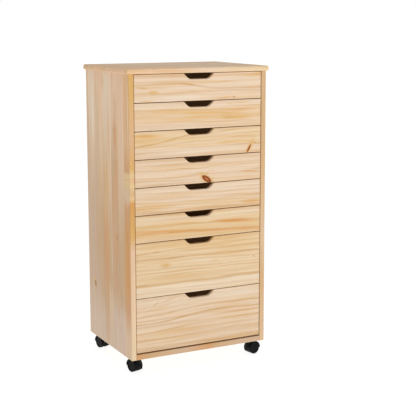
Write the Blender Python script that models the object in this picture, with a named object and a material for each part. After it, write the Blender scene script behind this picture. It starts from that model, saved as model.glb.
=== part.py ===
"""Rolling storage cart of solid pine: small and large drawers on wooden runners, over hooded casters.

Metres, +Z up, +X to the right seen from the front and +Y to the back. The origin lies on the floor, under
the middle of the top panel. Every piece keeps a thin seam to the piece it touches.
"""

import math

import bmesh
import bpy
from mathutils import Matrix, Vector

# Seams, cutters' overrun, and the angles above which an edge is eased or shown sharp
SEAM = 0.0003
OVERRUN = 0.001
EASED_ANGLE = math.radians(40)
SHARP_ANGLE = math.radians(35)

# Drawers
SMALL_DRAWER_COUNT = 6
LARGE_DRAWER_COUNT = 2
DRAWER_INNER_WIDTH = 0.43612
DRAWER_INNER_DEPTH = 0.31394
SMALL_INNER_HEIGHT = 0.05207
LARGE_INNER_HEIGHT = 0.13462
FRONT_THICKNESS = 0.015
DRAWER_SIDE_THICKNESS = 0.012
DRAWER_BACK_THICKNESS = 0.012
DRAWER_BOTTOM_THICKNESS = 0.0045
BOX_ABOVE_FRONT_FOOT = 0.004
BOTTOM_ABOVE_BOX_FOOT = 0.010
BOTTOM_GROOVE_DEPTH = 0.005
FRONT_ABOVE_SMALL_BOX = 0.01973
FRONT_ABOVE_LARGE_BOX = 0.032255
FRONT_CORNER_RADIUS = 0.001
FRONT_EDGE_EASE = 0.0007

# Gaps round the drawer fronts
GAP_BETWEEN_FRONTS = 0.0024
GAP_OVER_FRONTS = 0.0018
GAP_UNDER_FRONTS = 0.0048
GAP_BESIDE_FRONTS = 0.002
FRONT_RECESS = 0.0015

# Finger cut-out in the upper edge of each front
CUTOUT_TOP_WIDTH = 0.111
CUTOUT_FLOOR_WIDTH = 0.074
CUTOUT_DEPTH = 0.0185
CUTOUT_CORNER_RADIUS = 0.026
CUTOUT_LIP_RADIUS = 0.0015

# Runners
RUNNER_HEIGHT = 0.010
RUNNER_PLAY = 0.0007
RUNNER_GROOVE_DEPTH = 0.0055
RUNNER_END_PLAY = 0.0008
RUNNER_LEVEL_SHARE = 0.55
RUNNER_BEHIND_FRONT = 0.004
BATTEN_THICKNESS = 0.014
BATTEN_DEPTH = 0.018
BATTEN_SHORT_OF_ENDS = 0.004
GAP_BESIDE_BOX = 0.0075

# Carcass
SIDE_THICKNESS = 0.017
TOP_THICKNESS = 0.018
BOTTOM_THICKNESS = 0.018
BACK_THICKNESS = 0.004
BACK_INSET = 0.002
BACK_RABBET_DEPTH = 0.006
SPACE_BEHIND_DRAWERS = 0.03395
TOP_OVERHANG_SIDE = 0.008965
TOP_OVERHANG_FRONT = 0.0055
TOP_OVERHANG_BACK = 0.002
TOP_EDGE_RADIUS = 0.005
PANEL_EDGE_RADIUS = 0.0012
RAIL_HEIGHT = 0.060
RAIL_THICKNESS = 0.018

# Caster plates and pins
CASTER_HEIGHT = 0.057
CASTER_INSET_SIDE = 0.038
CASTER_INSET_END = 0.042
PLATE_SIZE = 0.038
PLATE_THICKNESS = 0.0025
PLATE_CORNER_RADIUS = 0.005
RACE_RADIUS = 0.012
RACE_HEIGHT = 0.003
SCREW_SPACING = 0.028
SCREW_HOLE_RADIUS = 0.0021
SCREW_HOLE_SIDES = 8
PIN_RADIUS = 0.004
PIN_IN_NECK = 0.009
PIN_CLEARANCE = 0.0004
PIN_SIDES = 12

# Caster housings
SWIVEL_GAP = 0.0008
TRAIL = 0.017
NECK_RADIUS = 0.0105
NECK_DROP = 0.006
NECK_SIDES = 20
HOOD_CLEARANCE = 0.0008
HOOD_WALL = 0.0016
HOOD_BESIDE_WHEEL = 0.002
HOOD_BACK_ANGLE = math.radians(-4)
HOOD_FRONT_ANGLE = math.radians(214)
HOOD_STEPS = 20
WEB_THICKNESS = 0.005
HUB_RADIUS = 0.007
HUB_STEPS = 5

# Caster wheels and axles
WHEEL_RADIUS = 0.0219
WHEEL_WIDTH = 0.0123
WHEEL_CLEARANCE = 0.0008
WHEEL_EDGE = 0.002
WHEEL_INNER_EDGE = 0.0008
WHEEL_FACE_WALL = 0.003
WHEEL_SIDES = 24
AXLE_RADIUS = 0.0025
AXLE_CLEARANCE = 0.0003
AXLE_END_PLAY = 0.0004
AXLE_SIDES = 16

# Turn of each caster about its pin at rest: the direction in which its wheels trail
CASTER_TURNS = {
    ("front", "left"): math.radians(105),
    ("front", "right"): math.radians(12),
    ("rear", "left"): math.radians(100),
    ("rear", "right"): math.radians(158),
}

# Worked-out sizes
BOX_OUTER_WIDTH = DRAWER_INNER_WIDTH + 2 * DRAWER_SIDE_THICKNESS
CARCASS_INNER_WIDTH = BOX_OUTER_WIDTH + 2 * GAP_BESIDE_BOX
CARCASS_WIDTH = CARCASS_INNER_WIDTH + 2 * SIDE_THICKNESS
TOP_WIDTH = CARCASS_WIDTH + 2 * TOP_OVERHANG_SIDE
BOX_DEPTH = DRAWER_INNER_DEPTH + DRAWER_BACK_THICKNESS
DRAWER_DEPTH = FRONT_THICKNESS + BOX_DEPTH
CARCASS_DEPTH = FRONT_RECESS + DRAWER_DEPTH + SPACE_BEHIND_DRAWERS + BACK_THICKNESS + BACK_INSET
TOP_DEPTH = TOP_OVERHANG_FRONT + CARCASS_DEPTH + TOP_OVERHANG_BACK
FLOOR_OF_BOX = BOX_ABOVE_FRONT_FOOT + BOTTOM_ABOVE_BOX_FOOT + DRAWER_BOTTOM_THICKNESS
FRONT_WIDTH = CARCASS_INNER_WIDTH - 2 * GAP_BESIDE_FRONTS

INNER_X = CARCASS_INNER_WIDTH / 2
OUTER_X = CARCASS_WIDTH / 2
TOP_FRONT_Y = -TOP_DEPTH / 2
CARCASS_FRONT_Y = TOP_FRONT_Y + TOP_OVERHANG_FRONT
CARCASS_REAR_Y = CARCASS_FRONT_Y + CARCASS_DEPTH
BACK_FRONT_Y = CARCASS_REAR_Y - BACK_INSET - BACK_THICKNESS
DRAWER_FRONT_Y = CARCASS_FRONT_Y + FRONT_RECESS
CARCASS_FOOT_Z = CASTER_HEIGHT
FLOOR_BOARD_TOP_Z = CARCASS_FOOT_Z + BOTTOM_THICKNESS

AXLE_Z = WHEEL_RADIUS * math.cos(math.pi / WHEEL_SIDES)
HOOD_INNER_RADIUS = WHEEL_RADIUS + HOOD_CLEARANCE
HOOD_OUTER_RADIUS = HOOD_INNER_RADIUS + HOOD_WALL
WHEEL_INNER_FACE = WEB_THICKNESS / 2 + WHEEL_CLEARANCE
WHEEL_OUTER_FACE = WHEEL_INNER_FACE + WHEEL_WIDTH
HOOD_HALF_WIDTH = WHEEL_OUTER_FACE + HOOD_BESIDE_WHEEL
PLATE_TOP_Z = CARCASS_FOOT_Z - SEAM
PLATE_FOOT_Z = PLATE_TOP_Z - PLATE_THICKNESS
RACE_FOOT_Z = PLATE_FOOT_Z - RACE_HEIGHT
NECK_TOP_Z = RACE_FOOT_Z - SWIVEL_GAP
CASTER_X = OUTER_X - CASTER_INSET_SIDE
CASTER_FRONT_Y = CARCASS_FRONT_Y + CASTER_INSET_END
CASTER_REAR_Y = CARCASS_REAR_Y - CASTER_INSET_END


class DrawerSize:
    """The heights that differ between small and large drawers, measured from the foot of the front."""

    def __init__(self, inner_height, front_above_box):
        self.inner_height = inner_height
        self.box_foot = BOX_ABOVE_FRONT_FOOT
        self.box_top = FLOOR_OF_BOX + inner_height
        self.front_height = self.box_top + front_above_box
        self.runner_top = self.box_foot + RUNNER_LEVEL_SHARE * (self.box_top - self.box_foot)


SMALL = DrawerSize(SMALL_INNER_HEIGHT, FRONT_ABOVE_SMALL_BOX)
LARGE = DrawerSize(LARGE_INNER_HEIGHT, FRONT_ABOVE_LARGE_BOX)


def drawer_places():
    """Each drawer's size and the height of its front's foot, from the top drawer down."""
    sizes = [SMALL] * SMALL_DRAWER_COUNT + [LARGE] * LARGE_DRAWER_COUNT
    foot = FLOOR_BOARD_TOP_Z + GAP_UNDER_FRONTS
    places = []
    for size in reversed(sizes):
        places.append((size, foot))
        foot += size.front_height + GAP_BETWEEN_FRONTS
    places.reverse()
    return places


DRAWERS = drawer_places()
TOP_FOOT_Z = DRAWERS[0][1] + DRAWERS[0][0].front_height + GAP_OVER_FRONTS


# Materials
def linear(hex_colour):
    """An sRGB hex colour as linear red, green, blue and alpha."""
    colour = []
    for at in (1, 3, 5):
        share = int(hex_colour[at : at + 2], 16) / 255
        colour.append(share / 12.92 if share <= 0.04045 else ((share + 0.055) / 1.055) ** 2.4)
    return colour + [1]


def material(name, hex_colour, roughness, metallic=0):
    made = bpy.data.materials.new(name)
    made.use_nodes = True
    shader = made.node_tree.nodes["Principled BSDF"]
    shader.inputs["Base Color"].default_value = linear(hex_colour)
    shader.inputs["Roughness"].default_value = roughness
    shader.inputs["Metallic"].default_value = metallic
    made.diffuse_color = linear(hex_colour)
    return made


# Outlines and solids
def arc(centre, radius, start, end, steps):
    """Points along an arc, both ends included."""
    angles = [start + (end - start) * step / steps for step in range(steps + 1)]
    return [(centre[0] + radius * math.cos(a), centre[1] + radius * math.sin(a)) for a in angles]


def rounded(corners, steps=4):
    """An outline whose corners (u, v, radius) are turned into arcs. A corner of radius 0 stays sharp."""
    outline = []
    for index, (u, v, radius) in enumerate(corners):
        here = Vector((u, v))
        if radius == 0:
            outline.append((u, v))
            continue
        before = (Vector(corners[index - 1][:2]) - here).normalized()
        after = (Vector(corners[(index + 1) % len(corners)][:2]) - here).normalized()
        half = before.angle(after) / 2
        middle = here + (before + after).normalized() * radius / math.sin(half)
        start = here + before * radius / math.tan(half) - middle
        turn = start.angle_signed(here + after * radius / math.tan(half) - middle)
        for step in range(steps + 1):
            outline.append(tuple(middle + Matrix.Rotation(-turn * step / steps, 2) @ start))
    return outline


def along_x(u, v, w):
    return (w, u, v)


def along_y(u, v, w):
    return (u, w, v)


def along_z(u, v, w):
    return (u, v, w)


def add_prism(solid, outline, low, high, place):
    """Adds an outline's prism to the solid. place turns (u, v, distance along the prism) into a point."""
    lower = [solid.verts.new(place(u, v, low)) for u, v in outline]
    upper = [solid.verts.new(place(u, v, high)) for u, v in outline]
    solid.faces.new(lower)
    solid.faces.new(upper)
    for index in range(len(outline)):
        solid.faces.new((lower[index - 1], lower[index], upper[index], upper[index - 1]))


def add_box(solid, low, high):
    corners = [(low[0], low[1]), (high[0], low[1]), (high[0], high[1]), (low[0], high[1])]
    add_prism(solid, corners, low[2], high[2], along_z)


def add_turned(solid, profile, sides, place, centre=(0, 0)):
    """Adds a solid of revolution. The profile runs as (radius, height) from the axis to the axis, and place
    turns (u, v, height) into a point. A flat side, not a corner, faces along -v."""
    rings = []
    for radius, height in profile:
        if radius == 0:
            rings.append([solid.verts.new(place(centre[0], centre[1], height))])
            continue
        turns = [2 * math.pi * (step + 0.5) / sides - math.pi / 2 for step in range(sides)]
        ring = [(centre[0] + radius * math.cos(t), centre[1] + radius * math.sin(t)) for t in turns]
        rings.append([solid.verts.new(place(u, v, height)) for u, v in ring])
    for one, other in zip(rings, rings[1:]):
        for step in range(sides):
            corners = [one[step - 1], one[step]] if len(one) > 1 else [one[0]]
            corners += [other[step], other[step - 1]] if len(other) > 1 else [other[0]]
            solid.faces.new(corners)


def add_rod(solid, radius, low, high, sides, place, centre=(0, 0)):
    add_turned(solid, [(0, low), (radius, low), (radius, high), (0, high)], sides, place, centre)


def scratch_object(solid):
    """A helper object from a bmesh, with its faces turned outwards."""
    bmesh.ops.recalc_face_normals(solid, faces=solid.faces)
    mesh = bpy.data.meshes.new("helper")
    solid.to_mesh(mesh)
    solid.free()
    helper = bpy.data.objects.new("helper", mesh)
    bpy.context.scene.collection.objects.link(helper)
    return helper


def shaped_mesh(solid, ease=0, ease_segments=1, joined=(), cut=()):
    """A solid's mesh once its sharp edges are eased, and other solids are joined to it and cut from it."""
    body = scratch_object(solid)
    helpers = [body]
    if ease:
        bevel = body.modifiers.new("ease", "BEVEL")
        bevel.width = ease
        bevel.segments = ease_segments
        bevel.limit_method = "ANGLE"
        bevel.angle_limit = EASED_ANGLE
    for operation, solids in (("UNION", joined), ("DIFFERENCE", cut)):
        for other in solids:
            helper = scratch_object(other)
            helpers.append(helper)
            boolean = body.modifiers.new(operation, "BOOLEAN")
            boolean.operation = operation
            boolean.solver = "EXACT"
            boolean.object = helper
    bpy.context.view_layer.update()
    shaped = bpy.data.meshes.new_from_object(body.evaluated_get(bpy.context.evaluated_depsgraph_get()))
    for helper in helpers:
        mesh = helper.data
        bpy.data.objects.remove(helper)
        bpy.data.meshes.remove(mesh)
    return shaped


def place_part(name, mesh, finish, parent=None, location=(0, 0, 0), round_piece=False):
    """A named sub-part from a mesh."""
    mesh.name = name
    if not mesh.materials:
        mesh.materials.append(finish)
    if round_piece:
        mesh.shade_smooth()
        mesh.set_sharp_from_angle(angle=SHARP_ANGLE)
    part = bpy.data.objects.new(name, mesh)
    part.parent = parent
    part.location = location
    bpy.context.scene.collection.objects.link(part)
    return part


def new_empty(name, location, turn=0):
    empty = bpy.data.objects.new(name, None)
    empty.location = location
    empty.rotation_euler = (0, 0, turn)
    bpy.context.scene.collection.objects.link(empty)
    return empty


# Carcass
def make_top(finish):
    solid = bmesh.new()
    half = TOP_WIDTH / 2
    low = (-half, TOP_FRONT_Y, TOP_FOOT_Z)
    high = (half, TOP_FRONT_Y + TOP_DEPTH, TOP_FOOT_Z + TOP_THICKNESS)
    add_box(solid, low, high)
    mesh = shaped_mesh(solid, ease=TOP_EDGE_RADIUS, ease_segments=4)
    return place_part("top_panel", mesh, finish, round_piece=True)


def make_side(name, side, finish):
    """A side panel, with a rabbet at the rear for the back."""
    solid = bmesh.new()
    outer = side * OUTER_X
    inner = side * INNER_X
    rabbet_x = side * (INNER_X + BACK_RABBET_DEPTH)
    corners = [
        (outer, CARCASS_FRONT_Y, PANEL_EDGE_RADIUS),
        (inner, CARCASS_FRONT_Y, PANEL_EDGE_RADIUS),
        (inner, BACK_FRONT_Y, 0),
        (rabbet_x, BACK_FRONT_Y, 0),
        (rabbet_x, CARCASS_REAR_Y, 0),
        (outer, CARCASS_REAR_Y, PANEL_EDGE_RADIUS),
    ]
    add_prism(solid, rounded(corners), CARCASS_FOOT_Z, TOP_FOOT_Z - SEAM, along_z)
    return place_part(name, shaped_mesh(solid), finish)


def make_runners(name, side, finish):
    """The runners of one side, which enter the drawers' grooves, on the batten in the rear corner."""
    wall = INNER_X - SEAM
    reach = INNER_X - GAP_BESIDE_BOX - RUNNER_GROOVE_DEPTH + RUNNER_END_PLAY
    front = DRAWER_FRONT_Y + FRONT_THICKNESS + RUNNER_BEHIND_FRONT
    batten_rear = BACK_FRONT_Y - SEAM
    batten_front = batten_rear - BATTEN_DEPTH
    batten_foot = FLOOR_BOARD_TOP_Z + BATTEN_SHORT_OF_ENDS
    batten_top = TOP_FOOT_Z - BATTEN_SHORT_OF_ENDS
    outline = [(batten_front, batten_foot)]
    for size, foot in reversed(DRAWERS):
        runner_top = foot + size.runner_top
        runner_foot = runner_top - RUNNER_HEIGHT
        outline += [(batten_front, runner_foot), (front, runner_foot)]
        outline += [(front, runner_top), (batten_front, runner_top)]
    outline += [(batten_front, batten_top), (batten_rear, batten_top), (batten_rear, batten_foot)]
    comb = bmesh.new()
    face = INNER_X - BATTEN_THICKNESS
    add_prism(comb, outline, side * face, side * wall, along_x)
    thinned = bmesh.new()
    low = (side * (face - OVERRUN), front - OVERRUN, batten_foot - OVERRUN)
    high = (side * reach, batten_front, batten_top + OVERRUN)
    add_box(thinned, low, high)
    return place_part(name, shaped_mesh(comb, cut=[thinned]), finish)


def make_floor_board(finish):
    solid = bmesh.new()
    corners = [
        (CARCASS_FRONT_Y, CARCASS_FOOT_Z, PANEL_EDGE_RADIUS),
        (BACK_FRONT_Y - SEAM, CARCASS_FOOT_Z, 0),
        (BACK_FRONT_Y - SEAM, FLOOR_BOARD_TOP_Z, 0),
        (CARCASS_FRONT_Y, FLOOR_BOARD_TOP_Z, PANEL_EDGE_RADIUS),
    ]
    add_prism(solid, rounded(corners), SEAM - INNER_X, INNER_X - SEAM, along_x)
    return place_part("bottom_panel", shaped_mesh(solid), finish)


def make_back(finish):
    solid = bmesh.new()
    half = INNER_X + BACK_RABBET_DEPTH - SEAM
    low = (-half, BACK_FRONT_Y + SEAM, CARCASS_FOOT_Z)
    high = (half, BACK_FRONT_Y + BACK_THICKNESS, TOP_FOOT_Z - SEAM)
    add_box(solid, low, high)
    return place_part("back_panel", shaped_mesh(solid), finish)


def make_rail(finish):
    """The rail under the rear of the top, between the battens."""
    solid = bmesh.new()
    half = INNER_X - BATTEN_THICKNESS - SEAM
    rear = BACK_FRONT_Y - SEAM
    top = TOP_FOOT_Z - SEAM
    add_box(solid, (-half, rear - RAIL_THICKNESS, top - RAIL_HEIGHT), (half, rear, top))
    return place_part("rear_top_rail", shaped_mesh(solid), finish)


# Drawers: each piece is placed from the middle of the front's lower outer edge
def front_outline(size):
    half = FRONT_WIDTH / 2
    lip = CUTOUT_TOP_WIDTH / 2
    floor = CUTOUT_FLOOR_WIDTH / 2
    height = size.front_height
    corners = [
        (-half, 0, FRONT_CORNER_RADIUS),
        (half, 0, FRONT_CORNER_RADIUS),
        (half, height, FRONT_CORNER_RADIUS),
        (lip, height, CUTOUT_LIP_RADIUS),
        (floor, height - CUTOUT_DEPTH, CUTOUT_CORNER_RADIUS),
        (-floor, height - CUTOUT_DEPTH, CUTOUT_CORNER_RADIUS),
        (-lip, height, CUTOUT_LIP_RADIUS),
        (-half, height, FRONT_CORNER_RADIUS),
    ]
    return rounded(corners)


def groove_levels():
    """Lower and upper edge of the groove that holds a drawer's bottom."""
    low = BOX_ABOVE_FRONT_FOOT + BOTTOM_ABOVE_BOX_FOOT
    return low - SEAM, low + DRAWER_BOTTOM_THICKNESS


def front_mesh(size):
    solid = bmesh.new()
    add_prism(solid, front_outline(size), 0, FRONT_THICKNESS, along_y)
    groove = bmesh.new()
    half = DRAWER_INNER_WIDTH / 2 + BOTTOM_GROOVE_DEPTH
    low, high = groove_levels()
    add_box(
        groove, (-half, FRONT_THICKNESS - BOTTOM_GROOVE_DEPTH, low), (half, FRONT_THICKNESS + OVERRUN, high)
    )
    return shaped_mesh(solid, ease=FRONT_EDGE_EASE, cut=[groove])


def box_mesh(size):
    """The two sides and the back as one glued box, with grooves for the runners and the bottom."""
    inner = DRAWER_INNER_WIDTH / 2
    outer = BOX_OUTER_WIDTH / 2
    front = FRONT_THICKNESS + SEAM
    back = DRAWER_DEPTH - DRAWER_BACK_THICKNESS
    plan = [
        (-outer, front),
        (-outer, DRAWER_DEPTH),
        (outer, DRAWER_DEPTH),
        (outer, front),
        (inner, front),
        (inner, back),
        (-inner, back),
        (-inner, front),
    ]
    solid = bmesh.new()
    add_prism(solid, plan, size.box_foot, size.box_top, along_z)
    groove_low, groove_high = groove_levels()
    before, beyond = front - OVERRUN, DRAWER_DEPTH + OVERRUN
    bottom_groove = bmesh.new()
    reach = inner + BOTTOM_GROOVE_DEPTH
    add_box(bottom_groove, (-reach, before, groove_low), (reach, beyond, groove_high))
    under_back = bmesh.new()
    add_box(under_back, (-inner, before, size.box_foot - OVERRUN), (inner, beyond, groove_high))
    runner_grooves = bmesh.new()
    low = size.runner_top - RUNNER_HEIGHT - RUNNER_PLAY
    high = size.runner_top + SEAM
    for side in (-1, 1):
        floor = side * (outer - RUNNER_GROOVE_DEPTH)
        add_box(runner_grooves, (floor, before, low), (side * (outer + OVERRUN), beyond, high))
    return shaped_mesh(solid, cut=[bottom_groove, under_back, runner_grooves])


def bottom_mesh():
    solid = bmesh.new()
    half = DRAWER_INNER_WIDTH / 2 + BOTTOM_GROOVE_DEPTH - SEAM
    low, high = groove_levels()
    front = FRONT_THICKNESS - BOTTOM_GROOVE_DEPTH + SEAM
    add_box(solid, (-half, front, low + SEAM), (half, DRAWER_DEPTH, high - SEAM))
    return shaped_mesh(solid)


def make_drawers(pine, plywood):
    meshes = {size: (front_mesh(size), box_mesh(size)) for size in (SMALL, LARGE)}
    bottom = bottom_mesh()
    for number, (size, foot) in enumerate(DRAWERS, 1):
        drawer = new_empty(f"drawer_{number}", (0, DRAWER_FRONT_Y, foot))
        for piece, mesh in zip(("front", "box"), meshes[size]):
            place_part(f"drawer_{number}_{piece}", mesh, pine, parent=drawer)
        place_part(f"drawer_{number}_bottom", bottom, plywood, parent=drawer)


# Casters: each piece is placed from the swivel pin's axis on the floor. Housing and wheels trail along +X
def plate_mesh():
    """The plate under the floor board, with its screw holes and the race that the housing turns on."""
    half = PLATE_SIZE / 2
    corners = [(u * half, v * half, PLATE_CORNER_RADIUS) for u, v in ((-1, -1), (1, -1), (1, 1), (-1, 1))]
    solid = bmesh.new()
    add_prism(solid, rounded(corners), PLATE_FOOT_Z, PLATE_TOP_Z, along_z)
    race = bmesh.new()
    add_rod(race, RACE_RADIUS, RACE_FOOT_Z, PLATE_FOOT_Z + SEAM, NECK_SIDES, along_z)
    above = PLATE_TOP_Z + OVERRUN
    pin_hole = bmesh.new()
    add_rod(pin_hole, PIN_RADIUS + PIN_CLEARANCE, RACE_FOOT_Z - OVERRUN, above, PIN_SIDES, along_z)
    screw_holes = bmesh.new()
    below = PLATE_FOOT_Z - OVERRUN
    offset = SCREW_SPACING / 2
    for centre in ((-offset, -offset), (offset, -offset), (offset, offset), (-offset, offset)):
        add_rod(screw_holes, SCREW_HOLE_RADIUS, below, above, SCREW_HOLE_SIDES, along_z, centre)
    return shaped_mesh(solid, joined=[race], cut=[pin_hole, screw_holes])


def pin_mesh():
    solid = bmesh.new()
    add_rod(solid, PIN_RADIUS, NECK_TOP_Z - PIN_IN_NECK, PLATE_TOP_Z, PIN_SIDES, along_z)
    return shaped_mesh(solid)


def housing_mesh():
    """A hood over both wheels and a web between them, with the neck that turns on the pin."""
    solid = bmesh.new()
    axle = (TRAIL, AXLE_Z)
    hood = arc(axle, HOOD_OUTER_RADIUS, HOOD_BACK_ANGLE, HOOD_FRONT_ANGLE, HOOD_STEPS)
    hub = arc(axle, HUB_RADIUS, HOOD_FRONT_ANGLE, HOOD_BACK_ANGLE + 2 * math.pi, HUB_STEPS)
    add_prism(solid, hood + hub, -HOOD_HALF_WIDTH, HOOD_HALF_WIDTH, along_y)
    neck = bmesh.new()
    add_rod(neck, NECK_RADIUS, AXLE_Z + NECK_DROP, NECK_TOP_Z, NECK_SIDES, along_z)
    chambers = bmesh.new()
    steps = HOOD_STEPS * 2
    circle = arc(axle, HOOD_INNER_RADIUS, 0, 2 * math.pi * (steps - 1) / steps, steps - 1)
    for side in (-1, 1):
        add_prism(chambers, circle, side * WEB_THICKNESS / 2, side * (HOOD_HALF_WIDTH + OVERRUN), along_y)
    axle_bore = bmesh.new()
    bore_radius = AXLE_RADIUS + AXLE_CLEARANCE
    add_rod(axle_bore, bore_radius, -WEB_THICKNESS, WEB_THICKNESS, AXLE_SIDES, along_y, axle)
    pin_bore = bmesh.new()
    bore_foot = NECK_TOP_Z - PIN_IN_NECK - PIN_CLEARANCE
    add_rod(pin_bore, PIN_RADIUS + PIN_CLEARANCE, bore_foot, NECK_TOP_Z + OVERRUN, PIN_SIDES, along_z)
    return shaped_mesh(solid, joined=[neck], cut=[chambers, axle_bore, pin_bore])


def axle_mesh():
    solid = bmesh.new()
    half = WHEEL_OUTER_FACE - WHEEL_FACE_WALL - AXLE_END_PLAY
    add_rod(solid, AXLE_RADIUS, -half, half, AXLE_SIDES, along_y)
    return shaped_mesh(solid)


def wheel_mesh(side):
    """A moulded wheel, solid outside, with a blind bore for the axle from the inside."""
    bore = AXLE_RADIUS + AXLE_CLEARANCE
    profile = [
        (0, WHEEL_OUTER_FACE),
        (WHEEL_RADIUS - WHEEL_EDGE, WHEEL_OUTER_FACE),
        (WHEEL_RADIUS, WHEEL_OUTER_FACE - WHEEL_EDGE),
        (WHEEL_RADIUS, WHEEL_INNER_FACE + WHEEL_INNER_EDGE),
        (WHEEL_RADIUS - WHEEL_INNER_EDGE, WHEEL_INNER_FACE),
        (bore, WHEEL_INNER_FACE),
        (bore, WHEEL_OUTER_FACE - WHEEL_FACE_WALL),
        (0, WHEEL_OUTER_FACE - WHEEL_FACE_WALL),
    ]
    solid = bmesh.new()
    add_turned(solid, [(radius, side * along) for radius, along in profile], WHEEL_SIDES, along_y)
    return shaped_mesh(solid)


def caster_centres():
    rows = {"front": CASTER_FRONT_Y, "rear": CASTER_REAR_Y}
    columns = {"left": -CASTER_X, "right": CASTER_X}
    return {(row, column): (x, y) for row, y in rows.items() for column, x in columns.items()}


def make_casters(plastic, steel):
    plate = plate_mesh()
    pin = pin_mesh()
    housing = housing_mesh()
    axle = axle_mesh()
    wheels = {"left": wheel_mesh(1), "right": wheel_mesh(-1)}
    for (row, column), (x, y) in caster_centres().items():
        name = f"caster_{row}_{column}"
        place_part(f"{name}_plate", plate, steel, location=(x, y, 0), round_piece=True)
        place_part(f"{name}_pin", pin, steel, location=(x, y, 0), round_piece=True)
        swivel = new_empty(f"{name}_swivel", (x, y, 0), CASTER_TURNS[row, column])
        place_part(f"{name}_housing", housing, plastic, parent=swivel, round_piece=True)
        on_axle = (TRAIL, 0, AXLE_Z)
        place_part(f"{name}_axle", axle, steel, parent=swivel, location=on_axle, round_piece=True)
        for hand, wheel in wheels.items():
            wheel_name = f"{name}_wheel_{hand}"
            place_part(wheel_name, wheel, plastic, parent=swivel, location=on_axle, round_piece=True)


def clear_scene():
    for thing in list(bpy.data.objects):
        bpy.data.objects.remove(thing)


def main():
    clear_scene()
    pine = material("pine", "#E6C396", 0.5)
    pine_dark = material("pine_inside", "#D9B07C", 0.55)
    plywood = material("plywood", "#DDC3A0", 0.6)
    nylon = material("black_nylon", "#1B1B1C", 0.42)
    zinc = material("zinc_plated_steel", "#B9BBBD", 0.35, 1)
    make_top(pine)
    for name, side in (("left", -1), ("right", 1)):
        make_side(f"side_panel_{name}", side, pine)
        make_runners(f"runners_{name}", side, pine_dark)
    make_floor_board(pine)
    make_back(plywood)
    make_rail(pine_dark)
    make_drawers(pine, plywood)
    make_casters(nylon, zinc)


main()
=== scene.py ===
"""The looks of a rolling storage cart of solid pine: its boards, its casters and a plain studio.

It is laid out as a Blender add-on and run as a script. Every place comes from the packed model's frame, in
metres with +Z up; grain, knots and other marks of the wood are given in millimetres on their board.
"""

import math
from dataclasses import dataclass

import bmesh
import bpy
from bpy.props import FloatProperty, FloatVectorProperty, IntProperty, PointerProperty
from mathutils import Matrix, Vector


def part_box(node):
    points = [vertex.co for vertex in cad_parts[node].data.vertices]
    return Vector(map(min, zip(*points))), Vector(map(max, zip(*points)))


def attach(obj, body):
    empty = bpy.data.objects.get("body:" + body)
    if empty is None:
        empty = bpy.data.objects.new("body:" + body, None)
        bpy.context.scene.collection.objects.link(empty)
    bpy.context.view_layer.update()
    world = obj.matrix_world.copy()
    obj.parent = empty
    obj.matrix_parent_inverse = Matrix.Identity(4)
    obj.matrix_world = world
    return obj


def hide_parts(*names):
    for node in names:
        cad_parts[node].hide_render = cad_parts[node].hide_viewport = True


bl_info = {
    "name": "Rolling storage cart looks",
    "version": (1, 0, 0),
    "blender": (4, 5, 0),
    "location": "3D View > Sidebar > Cart",
    "description": "Dresses the packed model of a pine drawer cart: boards, trays, casters and a studio",
    "category": "Object",
}

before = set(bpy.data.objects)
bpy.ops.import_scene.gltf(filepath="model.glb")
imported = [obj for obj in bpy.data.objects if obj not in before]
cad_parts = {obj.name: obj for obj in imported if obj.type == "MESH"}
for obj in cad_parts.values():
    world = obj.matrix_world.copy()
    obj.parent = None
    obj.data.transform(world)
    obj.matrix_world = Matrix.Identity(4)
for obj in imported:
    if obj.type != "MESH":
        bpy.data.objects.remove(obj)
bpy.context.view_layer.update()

MM = 0.001
PER_METRE = 1000
DRAWERS = range(1, 9)
SIDES = ("left", "right")
CASTERS = tuple(f"caster_{row}_{side}" for row in ("front", "rear") for side in SIDES)

# Steps of a quarter round, from a face to the edge's side
EASE_TURNS = tuple(math.pi / 2 * step / 4 for step in range(5))

# Distance below which points of the packed model are one point, and the angles of flat, eased and sharp edges
WELD = 0.00001
FLAT_ANGLE = math.radians(0.5)
EASED_ANGLE = math.radians(40)
SHARP_ANGLE = math.radians(35)

X, Y, Z = "X", "Y", "Z"

# Lengths in millimetres over which the tones of the boards are spread
CART_WIDTH = 540
CART_DEPTH = 390
CART_HEIGHT = 1030
INNER_WIDTH = 480
TRAY_DEPTH = 400
RAIL_WIDTH = 60


# Colours
def linear(hex_colour):
    """An sRGB hex colour as linear red, green, blue."""
    shares = [int(hex_colour[at : at + 2], 16) / 255 for at in (1, 3, 5)]
    return tuple(s / 12.92 if s <= 0.04045 else ((s + 0.055) / 1.055) ** 2.4 for s in shares)


def colour_property(name, description, hex_colour):
    return FloatVectorProperty(
        name=name, description=description, subtype="COLOR", min=0, max=1, default=linear(hex_colour)
    )


# Settings
def length_property(name, description, default, least, most):
    """A length, given here in millimetres."""
    return FloatProperty(
        name=name, description=description, default=default * MM, min=least * MM, max=most * MM,
        unit="LENGTH", precision=5,
    )


def share_property(name, description, default):
    """A share between nothing and everything."""
    return FloatProperty(name=name, description=description, default=default, min=0, max=1, subtype="FACTOR")


def power_property(name, description, default):
    """The power of a light in watts."""
    return FloatProperty(name=name, description=description, default=default, min=0, unit="POWER")


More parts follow.
